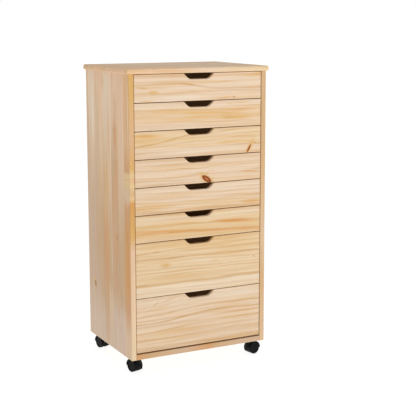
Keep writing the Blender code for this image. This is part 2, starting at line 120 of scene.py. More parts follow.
class CartPineSettings(bpy.types.PropertyGroup):
    """The tones of the pine and the finish of its surface."""

    pale: colour_property("Pale", "Sapwood almost without colour", "#F5E4CC")
    cream: colour_property("Cream", "Light sapwood", "#EFD5AF")
    blush: colour_property("Blush", "Light sapwood with a pink cast", "#EFD6BA")
    peach: colour_property("Peach", "Light wood with a warm cast", "#EFCBAA")
    sand: colour_property("Sand", "Light wood that has begun to darken", "#E6C6A3")
    ash: colour_property("Ash", "Pinkish wood near the foot of a panel", "#DFC5AD")
    straw: colour_property("Straw", "Yellowish early wood", "#EBCC98")
    honey: colour_property("Honey", "Yellowish wood darkened by age", "#DBB485")
    golden: colour_property("Golden", "Broad golden bands of the heartwood", "#E3B368")
    apricot: colour_property("Apricot", "Warm heartwood", "#E9BD8E")
    orange: colour_property("Orange", "Resin-rich streaks", "#DB9D56")
    # This tone also paints the shade in the seams along the drawer fronts' upper and lower edges.
    latewood: colour_property("Latewood", "Narrow dense line that ends each growth ring", "#CE9C5C")
    tan: colour_property("Tan", "Wood darkened by age", "#D3AE84")
    # Dun also paints the shade of the left panel's rear stave.
    dun: colour_property("Dun", "Greyish wood darkened by age", "#D5B698")
    reddish: colour_property("Reddish", "Reddish streaks in the side panels", "#DAA373")
    brown: colour_property("Brown", "Specks and bark pockets", "#A8651F")
    marks: FloatProperty(
        name="Marks", description="How strongly a board's lines and patches show", default=1.25, min=0, max=3
    )
    roughness: share_property("Roughness", "Satin of the lacquer", 0.45)
    inside_roughness: share_property("Inside roughness", "Planed wood without lacquer", 0.62)
    # A painted glow: emission on the boards inside the cart that stands in for light bounced between them.
    painted_inside_glow: colour_property("Inside glow", "Brown light between the boards inside the cart", "#3A2D1E")
    painted_inside_glow_strength: share_property("Glow strength", "How much of that light shows", 0.3)
    relief: length_property("Grain relief", "Height of the latewood over the softer wood", 0.06, 0, 1)


class CartEdgeSettings(bpy.types.PropertyGroup):
    """How far the edges of the boards are rounded, and the shape of the finger cut-outs."""

    top_radius: length_property("Top board", "Radius round the top board", 5, 0.5, 8)
    panel_radius: length_property("Panels", "Radius along the panels' edges", 0.8, 0.1, 3)
    front_radius: length_property("Drawer fronts", "Radius round each drawer front", 1.3, 0.1, 3)
    tray_radius: length_property("Drawer boxes", "Radius along the edges inside the drawers", 0.6, 0.1, 2)
    cutout_top: length_property("Cut-out width", "Width of a cut-out at the front's upper edge", 111, 20, 200)
    cutout_floor: length_property("Cut-out floor", "Width between the corners of its floor", 74, 10, 180)
    cutout_depth: length_property("Cut-out depth", "Depth of a finger cut-out", 18.5, 5, 40)
    cutout_corner: length_property("Cut-out corners", "Radius of the cut-out's lower corners", 26, 1, 40)
    cutout_lip: length_property("Cut-out lips", "Radius where it meets the upper edge", 1.5, 0.1, 5)
    cutout_ease: length_property("Cut-out rounding", "Radius round its front edge", 3.5, 0.1, 6)


class CartCasterSettings(bpy.types.PropertyGroup):
    """The casters' plastic and steel, and the details of their shape."""

    nylon: colour_property("Nylon", "Moulded black nylon", "#0B0B0C")
    zinc: colour_property("Zinc", "Zinc plating on the plates, pins and screws", "#C3C6C8")
    shoulder: length_property("Hood shoulder", "Radius along both sides of a hood", 2.4, 0.2, 4)
    dish: length_property("Wheel dish", "Depth of the dished ring in a wheel's face", 1.1, 0, 2)
    screw_head: length_property("Screw head", "Diameter of the screws' heads under the plates", 7.2, 3, 10)
    steps: IntProperty(name="Steps", description="Faces round a wheel", default=72, min=24, max=128)


class CartStageSettings(bpy.types.PropertyGroup):
    """The camera, the lights and the floor."""

    lens: FloatProperty(
        name="Lens", description="Focal length in millimetres", default=90.14, min=20, max=200
    )
    camera_place: FloatVectorProperty(
        name="Camera", description="Where the camera stands", default=(-1.5676, -3.2711, 1.1927),
        subtype="TRANSLATION", unit="LENGTH",
    )
    camera_turn: FloatProperty(
        name="Turn", description="The camera's turn to the right of straight ahead",
        default=math.radians(27.4245), subtype="ANGLE",
    )
    camera_dip: FloatProperty(
        name="Dip", description="How far the camera looks down", default=math.radians(9.4372), subtype="ANGLE"
    )
    camera_shift: FloatProperty(
        name="Shift", description="Lens shift downwards, in frame widths", default=-0.0433
    )
    key_power: power_property("Key light", "Broad light in front of the drawers", 39)
    side_power: power_property("Side light", "Soft light from the left", 8)
    top_power: power_property("Top light", "Soft light from overhead", 22)
    surround: FloatProperty(
        name="Surround", description="Brightness of the white studio around the cart", default=0.39, min=0
    )
    floor: colour_property("Floor", "Plain pale floor", "#7C7D7E")


# Boards, described in millimetres: along the grain, across it, and through the board
@dataclass
class Line:
    """A band along the grain. Its crisp upper edge passes through heights at even steps along the board. A
    level band along a drawer front's edge is painted shade in the seam there.
    """

    heights: tuple
    strength: float
    tone: str = "latewood"
    below: float = 0
    fade: float = 7
    crisp: float = 2


@dataclass
class Patch:
    """A soft oval of another tone, turned by an angle in degrees from the grain. A long, thin one along a
    drawer front's edge is painted shade in the seam there.
    """

    along: float
    across: float
    half_length: float
    half_width: float
    strength: float
    tone: str = "golden"
    turn: float = 0


@dataclass
class Knot:
    """A knot cut across its branch: an oval core in a darker ring and rim, with a golden halo."""

    along: float
    across: float
    half_length: float
    half_width: float
    turn: float = 0
    core: str = "#B97650"
    ring: str = "#A2592F"
    rim: str = "#7C431F"
    halo: float = 1.7


@dataclass
class Board:
    """One board or glued panel: its place, its staves, its growth rings and the marks on it."""

    axes: tuple
    zero: tuple
    length: float
    width: float
    staves: tuple
    spacing: float = 9
    ring_strength: float = 0.42
    golden: float = 0.35
    slope: float = 0
    pith: tuple = (-40, 160)
    wander: float = 9
    stripes: float = 0.032
    lines: tuple = ()
    patches: tuple = ()
    knots: tuple = ()


def one_piece(tone):
    """The staves of a board that is one piece of one tone."""
    return ((0, ((0, tone),)),)


# A front's long, thin bands in the latewood tone along its upper or lower edge are painted shade in the seams
# between drawers, not grain.
FRONT_MARKS = {
    1: {
        "staves": one_piece("blush"),
        "lines": (
            Line((57, 59, 60, 58, 50, 43, 40, 40, 41), 0.45, below=1, fade=8),
            # Level band along the upper edge: painted shade in the gap under the top board.
            Line((86,) * 9, 0.38, below=2, fade=9, crisp=6),
            Line((66, 65, 64, 62, 60, 61, 64, 66, 68), 0.16),
            Line((39, 38, 37, 36, 35, 34, 33, 33, 33), 0.14),
            Line((25, 24, 24, 23, 21, 20, 19, 19, 19), 0.14),
        ),
        "patches": (
            Patch(-45, 56, 34, 3.5, 0.35, "orange", -8),
            Patch(-215, 49, 34, 4.5, 0.4, "latewood", -9),
            Patch(-168, 31, 26, 8, 0.75),
            Patch(-170, 46, 80, 7, 0.3),
            Patch(200, 80, 70, 9, 0.3),
            # Painted shade along the upper edge, in the gap under the top board.
            Patch(60, 92, 200, 12, 0.2, "latewood"),
            Patch(60, 62, 90, 5, 0.3),
            Patch(-205, 30, 30, 5, 0.3),
            Patch(-192, 2, 34, 6, 0.55),
            Patch(222, 83, 38, 8, 0.55),
            Patch(92, 6, 50, 3.2, 0.45, "orange", 4),
            Patch(132, 7, 7, 2, 0.8, "brown", -8),
            Patch(-60, 12, 90, 10, 0.3, "pale"),
        ),
    },
    2: {
        "staves": one_piece("blush"),
        "spacing": 11,
        "ring_strength": 0.25,
        "lines": (
            Line((69, 68, 67, 65, 63, 65, 69, 70, 70), 0.34, "golden", below=38, fade=10, crisp=4),
            Line((69, 68, 67, 65, 63, 65, 69, 70, 70), 0.25, below=0, fade=5, crisp=1.5),
            Line((26, 25, 24, 24, 22, 20, 20, 21, 22), 0.25, below=0, fade=4),
            Line((10, 10, 9, 8, 8, 8, 7, 7, 7), 0.12),
        ),
        "patches": (
            Patch(100, 44, 130, 22, 0.45),
            Patch(108, 31, 26, 5, 0.4, "latewood"),
            Patch(62, 49, 60, 9, 0.35),
            Patch(140, 57, 80, 7, 0.35, "orange", 2),
            Patch(-90, 55, 80, 8, 0.3),
            Patch(-210, 38, 80, 18, 0.45, "blush"),
            Patch(60, 47, 210, 26, 0.65),
            Patch(-170, 62, 90, 9, 0.4),
            Patch(-70, 40, 90, 18, 0.35),
            Patch(120, 34, 120, 16, 0.75),
            # Painted shade along the upper edge, in the seam under the drawer above.
            Patch(50, 90, 280, 11, 0.25, "latewood"),
            Patch(160, 82, 50, 6, 0.3),
            Patch(115, 77, 16, 5, 0.5),
        ),
    },
    3: {
        "staves": one_piece("blush"),
        "spacing": 10,
        "slope": -0.03,
        "lines": (
            Line((93,) * 9, 0.42, "straw", below=52, fade=12, crisp=1),
            Line((40, 48, 58, 70, 77, 77, 83, 87, 90), 0.5, below=0, fade=6),
            Line((34, 39, 44, 48, 52, 55, 58, 60, 60), 0.28),
            Line((46, 50, 56, 60, 63, 66, 70, 72, 74), 0.16),
            Line((42, 42, 42, 42, 42, 43, 41, 38, 35), 0.22, "golden", below=2),
            Line((30, 31, 32, 33, 33, 32, 32, 32, 31), 0.18),
            Line((20, 21, 22, 23, 25, 24, 24, 23, 22), 0.16),
            Line((8, 9, 9, 10, 10, 11, 11, 10, 10), 0.16),
        ),
        "patches": (
            Patch(-200, 74, 80, 14, 0.7),
            Patch(-208, 78, 45, 8, 0.4, "orange"),
            Patch(150, 42, 110, 9, 0.45),
            Patch(105, 40, 75, 4.5, 0.6),
            Patch(195, 53, 60, 2.5, 0.4, "latewood", -1),
            Patch(-150, 52, 80, 8, 0.3, "golden", 9),
            Patch(0, 22, 240, 12, 0.4, "pale"),
            Patch(-205, 62, 70, 18, 0.6),
            # Painted shade along the upper and the lower edge, in the seams between the drawers.
            Patch(60, 90, 230, 12, 0.3, "latewood"),
            Patch(-60, 2, 300, 10, 0.35, "latewood"),
            Patch(150, 60, 110, 12, 0.25),
            Patch(215, 34, 6, 2, 0.45, "brown"),
        ),
        "knots": (Knot(190, 15, 17, 3.8, 60, core="#AC5E12", ring="#9E4F08", rim="#A05406", halo=3),),
    },
    4: {
        "staves": one_piece("blush"),
        "spacing": 10,
        "lines": (
            Line((55, 54, 53, 53, 52, 58, 53, 55, 57), 0.42, below=0, fade=5),
            Line((20, 18, 16, 15, 15, 14, 13, 12, 10), 0.34, below=0, fade=6),
            # Level band along the upper edge: painted shade in the seam under the drawer above.
            Line((86,) * 9, 0.3, below=2, fade=9, crisp=6),
            Line((74, 73, 73, 72, 72, 74, 76, 77, 77), 0.28, below=0, fade=5),
            Line((38, 37, 36, 35, 34, 34, 35, 36, 36), 0.1),
            Line((7, 6, 5, 5, 4, 3, 3, 2, 2), 0.2),
        ),
        "patches": (
            Patch(196, 29, 50, 4, 0.55, "orange", -3),
            # Painted shade along the upper and the lower edge, in the seams between the drawers.
            Patch(120, 90, 180, 13, 0.35, "latewood"),
            Patch(-120, 3, 190, 11, 0.45, "latewood"),
            Patch(120, 62, 150, 12, 0.2),
            Patch(222, 36, 30, 3, 0.4, "latewood"),
            Patch(47, 40, 16, 2, 0.45, "orange", -4),
            Patch(52, 15, 9, 3, 0.5, "orange"),
            Patch(30, 33, 5, 5, 0.35, "orange"),
        ),
        "knots": (Knot(27, 13, 22, 9.5, -33, core="#DE8C50", ring="#A85412", rim="#8A3E04", halo=1.9),),
    },
    5: {
        "staves": one_piece("blush"),
        "spacing": 8.6,
        "ring_strength": 0.6,
        "slope": 0.02,
        "lines": (
            Line((52, 50, 48, 46, 44, 44, 43, 43, 43), 0.2, fade=5),
            Line((42, 41, 39, 37, 35, 36, 38, 38, 37), 0.3, fade=5),
            Line((31, 30, 28, 26, 25, 27, 30, 30, 29), 0.26, fade=5),
            Line((22, 20, 18, 16, 14, 15, 18, 18, 17), 0.28, fade=5),
            Line((10, 9, 8, 6, 4, 6, 8, 9, 9), 0.2, fade=5),
            Line((63, 61, 60, 58, 58, 59, 60, 60, 60), 0.14, fade=4),
            Line((75, 73, 71, 70, 70, 70, 71, 71, 71), 0.12, fade=4),
        ),
        "patches": (
            Patch(-185, 24, 110, 20, 0.5),
            Patch(60, 24, 220, 18, 0.35, "straw"),
            Patch(-60, 8, 120, 8, 0.3),
            Patch(205, 17, 70, 11, 0.6),
            Patch(205, 17, 50, 8, 0.25, "orange"),
            Patch(190, 46, 90, 10, 0.25),
            # Painted shade along the lower edge, in the seam over the drawer below.
            Patch(-50, 2, 330, 8, 0.25, "latewood"),
            Patch(80, 26, 120, 18, 0.22),
            Patch(0, 74, 240, 12, 0.2, "pale"),
        ),
    },
    6: {
        "staves": one_piece("cream"),
        "spacing": 12,
        "lines": (
            Line((54, 54, 53, 52, 51, 51, 54, 56, 58), 0.3, "golden", below=42, fade=10, crisp=9),
            Line((80, 80, 79, 78, 77, 77, 78, 79, 80), 0.3, "blush", below=12, fade=8, crisp=6),
            Line((84, 84, 83, 82, 81, 81, 81, 82, 82), 0.14),
            Line((73, 72, 72, 71, 70, 69, 69, 70, 70), 0.12),
            Line((39, 38, 35, 30, 27, 24, 21, 18, 15), 0.62, "orange", below=6, fade=8, crisp=4),
            Line((56, 55, 54, 52, 50, 50, 50, 48, 46), 0.2),
            Line((12, 12, 13, 12, 11, 10, 8, 6, 5), 0.16),
        ),
        "patches": (
            Patch(-190, 31, 90, 8, 0.6, "orange"),
            Patch(130, 48, 100, 9.5, 0.85, "orange", -3.5),
            Patch(118, 47, 55, 6, 0.5, "latewood", -3),
            # Painted shade along the upper and the lower edge, in the seams between the drawers.
            Patch(0, 92, 340, 15, 0.5, "latewood"),
            Patch(-100, 4, 230, 10, 0.25, "latewood"),
            Patch(190, 30, 110, 14, 0.3),
            Patch(0, 42, 200, 14, 0.3),
        ),
    },
    7: {
        "staves": one_piece("cream"),
        "spacing": 12,
        "pith": (-60, 220),
        "lines": (
            Line((171, 172, 173, 175, 176, 175, 174, 175, 177), 0.2),
            Line((152, 153, 155, 158, 160, 160, 160, 162, 164), 0.24),
            Line((142, 142, 143, 146, 148, 151, 149, 148, 148), 0.26),
            Line((130, 130, 129, 129, 129, 127, 126, 126, 125), 0.56, below=2, fade=7),
            Line((121, 120, 119, 118, 116, 113, 111, 110, 109), 0.26),
            Line((106, 105, 104, 104, 103, 101, 99, 98, 97), 0.2),
            Line((96, 95, 94, 93, 92, 91, 90, 89, 88), 0.26),
            Line((82, 83, 82, 82, 81, 80, 79, 78, 77), 0.4, below=1),
            Line((72, 71, 70, 70, 69, 68, 67, 66, 66), 0.16),
            Line((64, 63, 62, 61, 60, 59, 58, 58, 57), 0.28),
            Line((44, 44, 45, 45, 43, 42, 43, 44, 44), 0.48, below=4, fade=9),
            Line((35, 35, 36, 36, 36, 36, 36, 36, 36), 0.45, "pale", below=40, fade=6, crisp=4),
            Line((28, 26, 24, 22, 20, 18, 16, 15, 14), 0.2),
            Line((18, 16, 13, 10, 8, 6, 5, 4, 3), 0.18),
        ),
        "patches": (
            Patch(0, 176, 340, 36, 0.4),
            # Painted shade along the upper edge, in the seam under the drawer above.
            Patch(0, 186, 340, 12, 0.3, "latewood"),
            Patch(0, 52, 260, 14, 0.2, "latewood"),
            Patch(0, 16, 260, 16, 0.35, "blush"),
            Patch(40, 110, 120, 8, 0.4, "pale", -1),
            Patch(-163, 153, 20, 3, 0.3, "brown", 1),
            Patch(85, 149, 24, 3, 0.4, "latewood", 4),
            Patch(85, 128, 55, 3.5, 0.5, "orange"),
            Patch(-128, 105, 28, 9, 0.6),
            Patch(-128, 99, 20, 2.5, 0.4, "latewood"),
            Patch(213, 101, 6, 4, 0.35, "brown"),
            Patch(60, 102, 22, 6, 0.3),
        ),
    },
    8: {
        "staves": one_piece("blush"),
        "spacing": 12,
        "pith": (-80, 240),
        "lines": (
            # Level band along the lower edge: painted shade in the gap over the bottom board.
            Line((7, 7, 7, 7, 7, 7, 7, 7, 7), 0.42, below=20, fade=1, crisp=15),
            Line((98, 99, 101, 109, 114, 117, 117, 115, 113), 0.52, below=2, fade=7),
            Line((65, 68, 71, 74, 77, 78, 79, 80, 80), 0.36, below=1),
            Line((40, 42, 43, 44, 45, 46, 46, 46, 45), 0.4, below=2, fade=8),
            Line((123, 126, 129, 134, 138, 140, 139, 137, 135), 0.34, below=1),
            Line((111, 111, 113, 118, 124, 127, 127, 126, 124), 0.16),
            Line((140, 141, 144, 150, 153, 155, 155, 153, 151), 0.16),
            Line((86, 87, 88, 92, 96, 98, 100, 99, 97), 0.26),
            Line((52, 55, 58, 60, 62, 62, 61, 61, 61), 0.16),
            Line((28, 27, 26, 26, 27, 28, 28, 28, 28), 0.26),
            Line((16, 15, 14, 14, 15, 16, 16, 16, 16), 0.24),
            Line((156, 155, 160, 164, 164, 165, 166, 167, 168), 0.14),
        ),
        "patches": (
            Patch(-168, 160, 26, 3, 0.45, "latewood", 33),
            Patch(-118, 171, 38, 3, 0.35, "latewood", 12),
            Patch(140, 85, 120, 26, 0.25),
            Patch(60, 50, 240, 44, 0.2, "latewood"),
            Patch(-140, 52, 200, 34, 0.15),
            Patch(-205, 153, 30, 3, 0.3, "latewood", 8),
            Patch(-150, 148, 60, 9, 0.3, "golden", 6),
            Patch(150, 99, 105, 4, 0.45, "orange"),
            Patch(-70, 107, 60, 4, 0.35, "latewood", 7),
            Patch(140, 162, 150, 20, 0.45, "pale"),
        ),
    },
}

# The staves of a panel: where each starts, and its tones from one end to the other
# Besides the wood's own tones, the left panel's staves paint its shading: pinkish-grey at the foot, paling to
# pink at the top, where more light falls.
LEFT_PANEL_STAVES = (
    (-190, (
        (0, "straw"), (60, "cream"), (430, "peach"), (480, "golden"), (590, "orange"), (606, "straw"),
        (622, "honey"), (648, "straw"), (666, "apricot"), (686, "straw"), (706, "golden"), (800, "apricot"),
        (960, "golden"),
    )),
    (-187, (
        (0, "sand"), (130, "sand"), (220, "reddish"), (320, "orange"), (480, "orange"), (570, "reddish"),
        (604, "sand"), (634, "sand"), (642, "straw"), (684, "straw"), (694, "reddish"), (790, "apricot"),
    )),
    (-141, ((0, "ash"), (180, "ash"), (250, "tan"), (430, "tan"), (640, "sand"), (820, "peach"))),
    (-91, ((0, "ash"), (180, "ash"), (280, "tan"), (700, "tan"), (820, "sand"), (930, "peach"))),
    (-32, (
        (0, "ash"), (230, "sand"), (300, "tan"), (420, "tan"), (650, "sand"), (830, "peach"), (920, "blush"),
    )),
    (2, (
        (0, "ash"), (200, "tan"), (320, "reddish"), (470, "reddish"), (560, "honey"), (660, "honey"),
        (780, "sand"), (900, "blush"),
    )),
    (42, ((0, "ash"), (150, "ash"), (240, "tan"), (520, "tan"), (740, "sand"), (900, "peach"))),
    (76, (
        (0, "ash"), (120, "ash"), (250, "dun"), (400, "tan"), (620, "dun"), (860, "sand"), (980, "peach"),
    )),
    (114, ((0, "ash"), (120, "ash"), (250, "dun"), (560, "dun"), (740, "sand"), (850, "blush"))),
    (151, ((0, "ash"), (120, "ash"), (300, "dun"), (560, "dun"), (750, "sand"), (950, "blush"))),
    # A greyer, darker stave along the rear edge: painted shade where the panel's rear edge falls off.
    (171, ((0, "ash"), (120, "ash"), (260, "dun"), (680, "dun"), (980, "sand"))),
)
LEFT_PANEL_PATCHES = (
    Patch(905, -72, 60, 12, 0.55, "reddish"),
    Patch(800, -66, 80, 26, 0.75, "reddish"),
    Patch(820, -64, 12, 24, 0.5, "latewood"),
    Patch(765, -68, 40, 20, 0.4, "reddish"),
    Patch(715, -70, 8, 18, 0.4, "latewood"),
    Patch(660, -70, 90, 20, 0.7, "reddish"),
    Patch(560, -47, 110, 14, 0.75, "reddish"),
    Patch(560, -74, 90, 12, 0.6, "reddish"),
    Patch(450, -50, 110, 14, 0.5, "reddish"),
    Patch(430, -72, 90, 17, 0.75, "reddish"),
    Patch(300, -68, 100, 15, 0.55, "reddish"),
    Patch(220, -78, 70, 9, 0.35, "reddish"),
    Patch(640, -78, 80, 9, 0.35, "apricot"),
    Patch(640, 12, 90, 20, 0.35),
    Patch(560, 90, 150, 16, 0.22),
    Patch(500, -60, 200, 5, 0.3, "apricot", 1),
    Patch(460, -77, 16, 6, 0.5, "brown", 12),
    Patch(420, -72, 60, 9, 0.3, "orange", 4),
    Patch(375, -64, 82, 3, 0.35, "brown", 3),
    Patch(385, 12, 90, 17, 0.4, "orange"),
    Patch(440, 24, 60, 8, 0.25, "orange"),
    Patch(325, 4, 50, 9, 0.3, "reddish"),
    Patch(400, 38, 80, 3, 0.25, "brown", 2),
    Patch(400, -27, 95, 3, 0.55, "pale"),
    Patch(820, -28, 190, 3, 0.4, "pale"),
    Patch(880, 132, 170, 14, 0.5, "pale"),
    Patch(890, 166, 140, 4, 0.4, "pale"),
    Patch(760, 20, 160, 12, 0.25, "pale"),
    Patch(975, 36, 34, 18, 0.35),
    Patch(650, 80, 110, 20, 0.22),
    Patch(240, -76, 40, 10, 0.35, "apricot"),
    Patch(350, -170, 110, 15, 0.3, "orange"),
    Patch(880, -163, 120, 3, 0.45, "orange"),
    Patch(860, -178, 150, 3, 0.4, "pale"),
    Patch(668, -168, 5, 30, 0.5, "golden", 14),
    Patch(645, -172, 4, 26, 0.5, "golden", -16),
    Patch(262, 148, 15, 17, 0.4),
)
LEFT_PANEL_KNOTS = (
    Knot(252, 132, 13, 7, 14, core="#B08453", ring="#9C7042", rim="#A87C4C", halo=1.6),
)
RIGHT_PANEL_STAVES = (
    (-190, ((0, "sand"), (300, "honey"), (420, "sand"), (700, "honey"), (900, "honey"))),
    (-187, ((0, "sand"), (300, "cream"), (620, "straw"), (940, "sand"))),
    (-138, ((0, "straw"), (420, "apricot"), (700, "sand"), (930, "cream"))),
    (-86, ((0, "cream"), (330, "sand"), (560, "cream"), (860, "straw"))),
    (-34, ((0, "sand"), (240, "peach"), (640, "sand"), (900, "apricot"))),
    (22, ((0, "straw"), (380, "cream"), (760, "pale"))),
    (74, ((0, "apricot"), (260, "sand"), (700, "straw"), (930, "sand"))),
    (128, ((0, "cream"), (420, "sand"), (820, "peach"))),
)
RIGHT_PANEL_PATCHES = (
    Patch(690, -20, 110, 8, 0.35, "reddish"),
    Patch(420, -110, 170, 9, 0.3, "orange"),
    Patch(250, 30, 120, 6, 0.3, "latewood"),
    Patch(820, 96, 140, 8, 0.3),
)
RIGHT_PANEL_KNOTS = (
    Knot(690, -55, 12, 8, -5, core="#C98A58", ring="#A35F30", rim="#8A4A20"),
    Knot(320, 62, 9, 6, 10, core="#C98A58", ring="#A35F30", rim="#8A4A20"),
)
TOP_STAVES = (
    (-196, ((-270, "peach"), (-90, "peach"), (40, "blush"), (200, "cream"))),
    (-134, ((-270, "peach"), (0, "blush"), (180, "peach"))),
    (-78, ((-270, "peach"), (-120, "peach"), (90, "blush"))),
    (-20, ((-270, "sand"), (-60, "blush"), (160, "blush"))),
    (36, ((-270, "peach"), (30, "blush"), (210, "cream"))),
    (92, ((-270, "sand"), (-100, "blush"), (120, "peach"))),
    (146, ((-270, "sand"), (60, "blush"))),
)
FLOOR_STAVES = (
    (-190, ((-240, "reddish"), (-190, "tan"), (-60, "dun"), (40, "reddish"), (60, "tan"), (150, "dun"))),
    (-60, ((-240, "sand"), (0, "straw"))),
    (60, ((-240, "straw"), (100, "sand"))),
)


# Materials
# The sockets of a node that maps one range to another, and settings that several nodes share
VALUE, LOW, HIGH, TO_LOW, TO_HIGH = range(5)
SMOOTH = {"interpolation_type": "SMOOTHSTEP"}
COLOUR_MIX = {"data_type": "RGBA"}

# Most values of a noise lie between these
NOISE_LOW, NOISE_HIGH = 0.25, 0.75

# What varies in pine, in millimetres along the grain, across it and through the board. The fibres are half
# a millimetre across, drawn as coarse as shows.
RIPPLES = (110, 26, 60)
WANDERING = (520, 150, 200)
UNEVEN_YEARS = (700, 45, 200)
CLOUDS = (340, 26, 80)
STREAKS = (160, 7, 20)
STRIPES = (300, 4.5, 30)
FIBRES = (42, 0.55, 1.5)
RESIN_CANALS = (9, 0.45, 1.2)
KNOT_EDGES = (5, 3, 5)
RIPPLE_HEIGHT = 2.2

# Where two staves are glued, the tones meet within the joint, and the grain jumps by up to this far
STAVE_JOINT = 1.5
STAVE_JUMP = (900, 60, 60)

# Plywood: its wide figure and how many bands that has, its fibres and its plies
VENEER_FIGURE = (520, 130, 400)
VENEER_BANDS = 9
VENEER_FIBRES = (55, 0.8, 2)
PLY_THICKNESS = 1.4

# Nylon and zinc plating: the size of the moulded grain, of the dusty haze and of the spangle
NYLON_GRAIN = 0.7
NYLON_GRAIN_HEIGHT = 0.02
NYLON_HAZE = 14
NYLON_DUST = (0.2, 0.19, 0.18)
ZINC_SPANGLE = 3.5
ZINC_CLOUD = (0.36, 0.38, 0.4)

# Reflection of a satin lacquer, of planed wood and of moulded nylon, against a polished surface's 0.5
PINE_SPECULAR = 0.3
NYLON_SPECULAR = 0.08

# The marks' tones in the order in which they are laid over each other
MARK_TONES = ("pale", "blush", "straw", "golden", "apricot", "latewood", "orange", "reddish", "brown")


def add(tree, kind, inputs=None, **settings):
    """A node with its settings. Each input is a value, an output socket, or a node whose output is taken."""
    node = tree.nodes.new(kind)
    for name, value in settings.items():
        setattr(node, name, value)
    for key, value in (inputs or {}).items():
        if isinstance(key, str):
            socket = next(s for s in node.inputs if s.name == key and s.enabled)
        else:
            socket = node.inputs[key]
        if isinstance(value, bpy.types.Node):
            value = output(value)
        if isinstance(value, bpy.types.NodeSocket):
            tree.links.new(value, socket)
        elif socket.type == "RGBA":
            socket.default_value = (*value, 1)
        else:
            socket.default_value = value
    return node


def output(node):
    """The output that a node's settings leave in use."""
    return next(socket for socket in node.outputs if socket.enabled)


def new_material(name):
    """An empty node material: its tree and its Principled shader."""
    made = bpy.data.materials.new(name)
    made.use_nodes = True
    return made, made.node_tree, made.node_tree.nodes["Principled BSDF"]


def wire_shader(tree, shader, results):
    """Links each result to the shader's socket of that name."""
    for name, node in results.items():
        tree.links.new(output(node), shader.inputs[name])


def board_place(tree, board):
    """The place on a board in millimetres: along the grain, across it and through the board."""
    spot = add(tree, "ShaderNodeTexCoord").outputs["Object"]
    moved = add(tree, "ShaderNodeVectorMath", {0: spot, 1: board.zero}, operation="SUBTRACT")
    scaled = add(tree, "ShaderNodeVectorMath", {0: moved, "Scale": PER_METRE}, operation="SCALE")
    parts = add(tree, "ShaderNodeSeparateXYZ", {0: scaled})
    ordered = {index: parts.outputs[axis] for index, axis in enumerate(board.axes)}
    return add(tree, "ShaderNodeCombineXYZ", ordered)


def facing_along(tree, axis):
    """How far the surface faces along an axis, from 0 to 1."""
    normal = add(tree, "ShaderNodeTexCoord").outputs["Normal"]
    facing = add(tree, "ShaderNodeSeparateXYZ", {0: normal})
    return add(tree, "ShaderNodeMath", {0: facing.outputs[axis]}, operation="ABSOLUTE")


def stretched_noise(tree, place, sizes, seed=0, detail=2):
    """Noise from 0 to 1 whose blots have these sizes in millimetres along, across and through a board."""
    shares = tuple(1 / size for size in sizes)
    scaled = add(tree, "ShaderNodeVectorMath", {0: place, 1: shares, 2: (seed, seed, seed)},
                 operation="MULTIPLY_ADD")
    return add(tree, "ShaderNodeTexNoise", {"Vector": scaled, "Scale": 1, "Detail": detail}).outputs[0]


def fill_ramp(ramp, stops):
    """Sets a colour ramp's stops from (share, colour) pairs."""
    elements = ramp.color_ramp.elements
    while len(elements) > 1:
        elements.remove(elements[-1])
    elements[0].position = stops[0][0]
    elements[0].color = (*stops[0][1], 1)
    for share, shade in stops[1:]:
        elements.new(share).color = (*shade, 1)


def stave_tones(tree, board, along, across):
    """The tone at each place of a panel glued from staves, and the number of the stave."""
    pine = bpy.context.scene.cart_pine
    start = board.staves[0][1][0][0]
    share = add(tree, "ShaderNodeMapRange", {VALUE: along, LOW: start, HIGH: start + board.length})
    tone, number = None, None
    for from_across, stops in board.staves:
        ramp = add(tree, "ShaderNodeValToRGB", {0: share})
        fill_ramp(ramp, [((at - start) / board.length, getattr(pine, shade)) for at, shade in stops])
        if tone is None:
            tone = ramp
            continue
        beyond = add(tree, "ShaderNodeMapRange",
                     {VALUE: across, LOW: from_across - STAVE_JOINT, HIGH: from_across + STAVE_JOINT})
        tone = add(tree, "ShaderNodeMix", {"Factor": beyond, "A": tone, "B": ramp}, **COLOUR_MIX)
        passed = add(tree, "ShaderNodeMath", {0: across, 1: from_across}, operation="GREATER_THAN")
        number = passed if number is None else add(tree, "ShaderNodeMath", {0: number, 1: passed})
    return tone, number


def line_share(tree, board, along, across, line):
    """How much of a line shows: it fades in from below and ends at a crisp edge, as a growth ring does."""
    share = add(tree, "ShaderNodeMapRange", {VALUE: along, LOW: -board.length / 2, HIGH: board.length / 2})
    curve = add(tree, "ShaderNodeFloatCurve", {"Value": share})
    points = curve.mapping.curves[0].points
    curve.mapping.use_clip = False
    last = len(line.heights) - 1
    points[0].location = (0, line.heights[0] / board.width)
    points[1].location = (1, line.heights[last] / board.width)
    for index in range(1, last):
        points.new(index / last, line.heights[index] / board.width)
    curve.mapping.update()
    level = add(tree, "ShaderNodeMath", {0: curve, 1: -board.width, 2: across}, operation="MULTIPLY_ADD")
    rising = add(tree, "ShaderNodeMapRange",
                 {VALUE: level, LOW: -line.below - line.fade, HIGH: -line.below}, **SMOOTH)
    falling = add(tree, "ShaderNodeMapRange",
                  {VALUE: level, LOW: 0, HIGH: line.crisp, TO_LOW: line.strength, TO_HIGH: 0}, **SMOOTH)
    return add(tree, "ShaderNodeMath", {0: rising, 1: falling}, operation="MULTIPLY")


def oval_distance(tree, place, mark):
    """The distance from a mark's middle, where its oval's edge is at 1. Marks go deep into the board."""
    middle = (mark.along, mark.across, 0)
    reach = (mark.half_length, mark.half_width, 10 * mark.half_length)
    turned = add(tree, "ShaderNodeMapping",
                 {"Vector": place, "Location": middle, "Rotation": (0, 0, math.radians(mark.turn)),
                  "Scale": reach}, vector_type="TEXTURE")
    return add(tree, "ShaderNodeVectorMath", {0: turned}, operation="LENGTH").outputs["Value"]


def strongest(tree, shares):
    """The strongest of several shares."""
    total = shares[0]
    for share in shares[1:]:
        total = add(tree, "ShaderNodeMath", {0: total, 1: share}, operation="MAXIMUM")
    return total


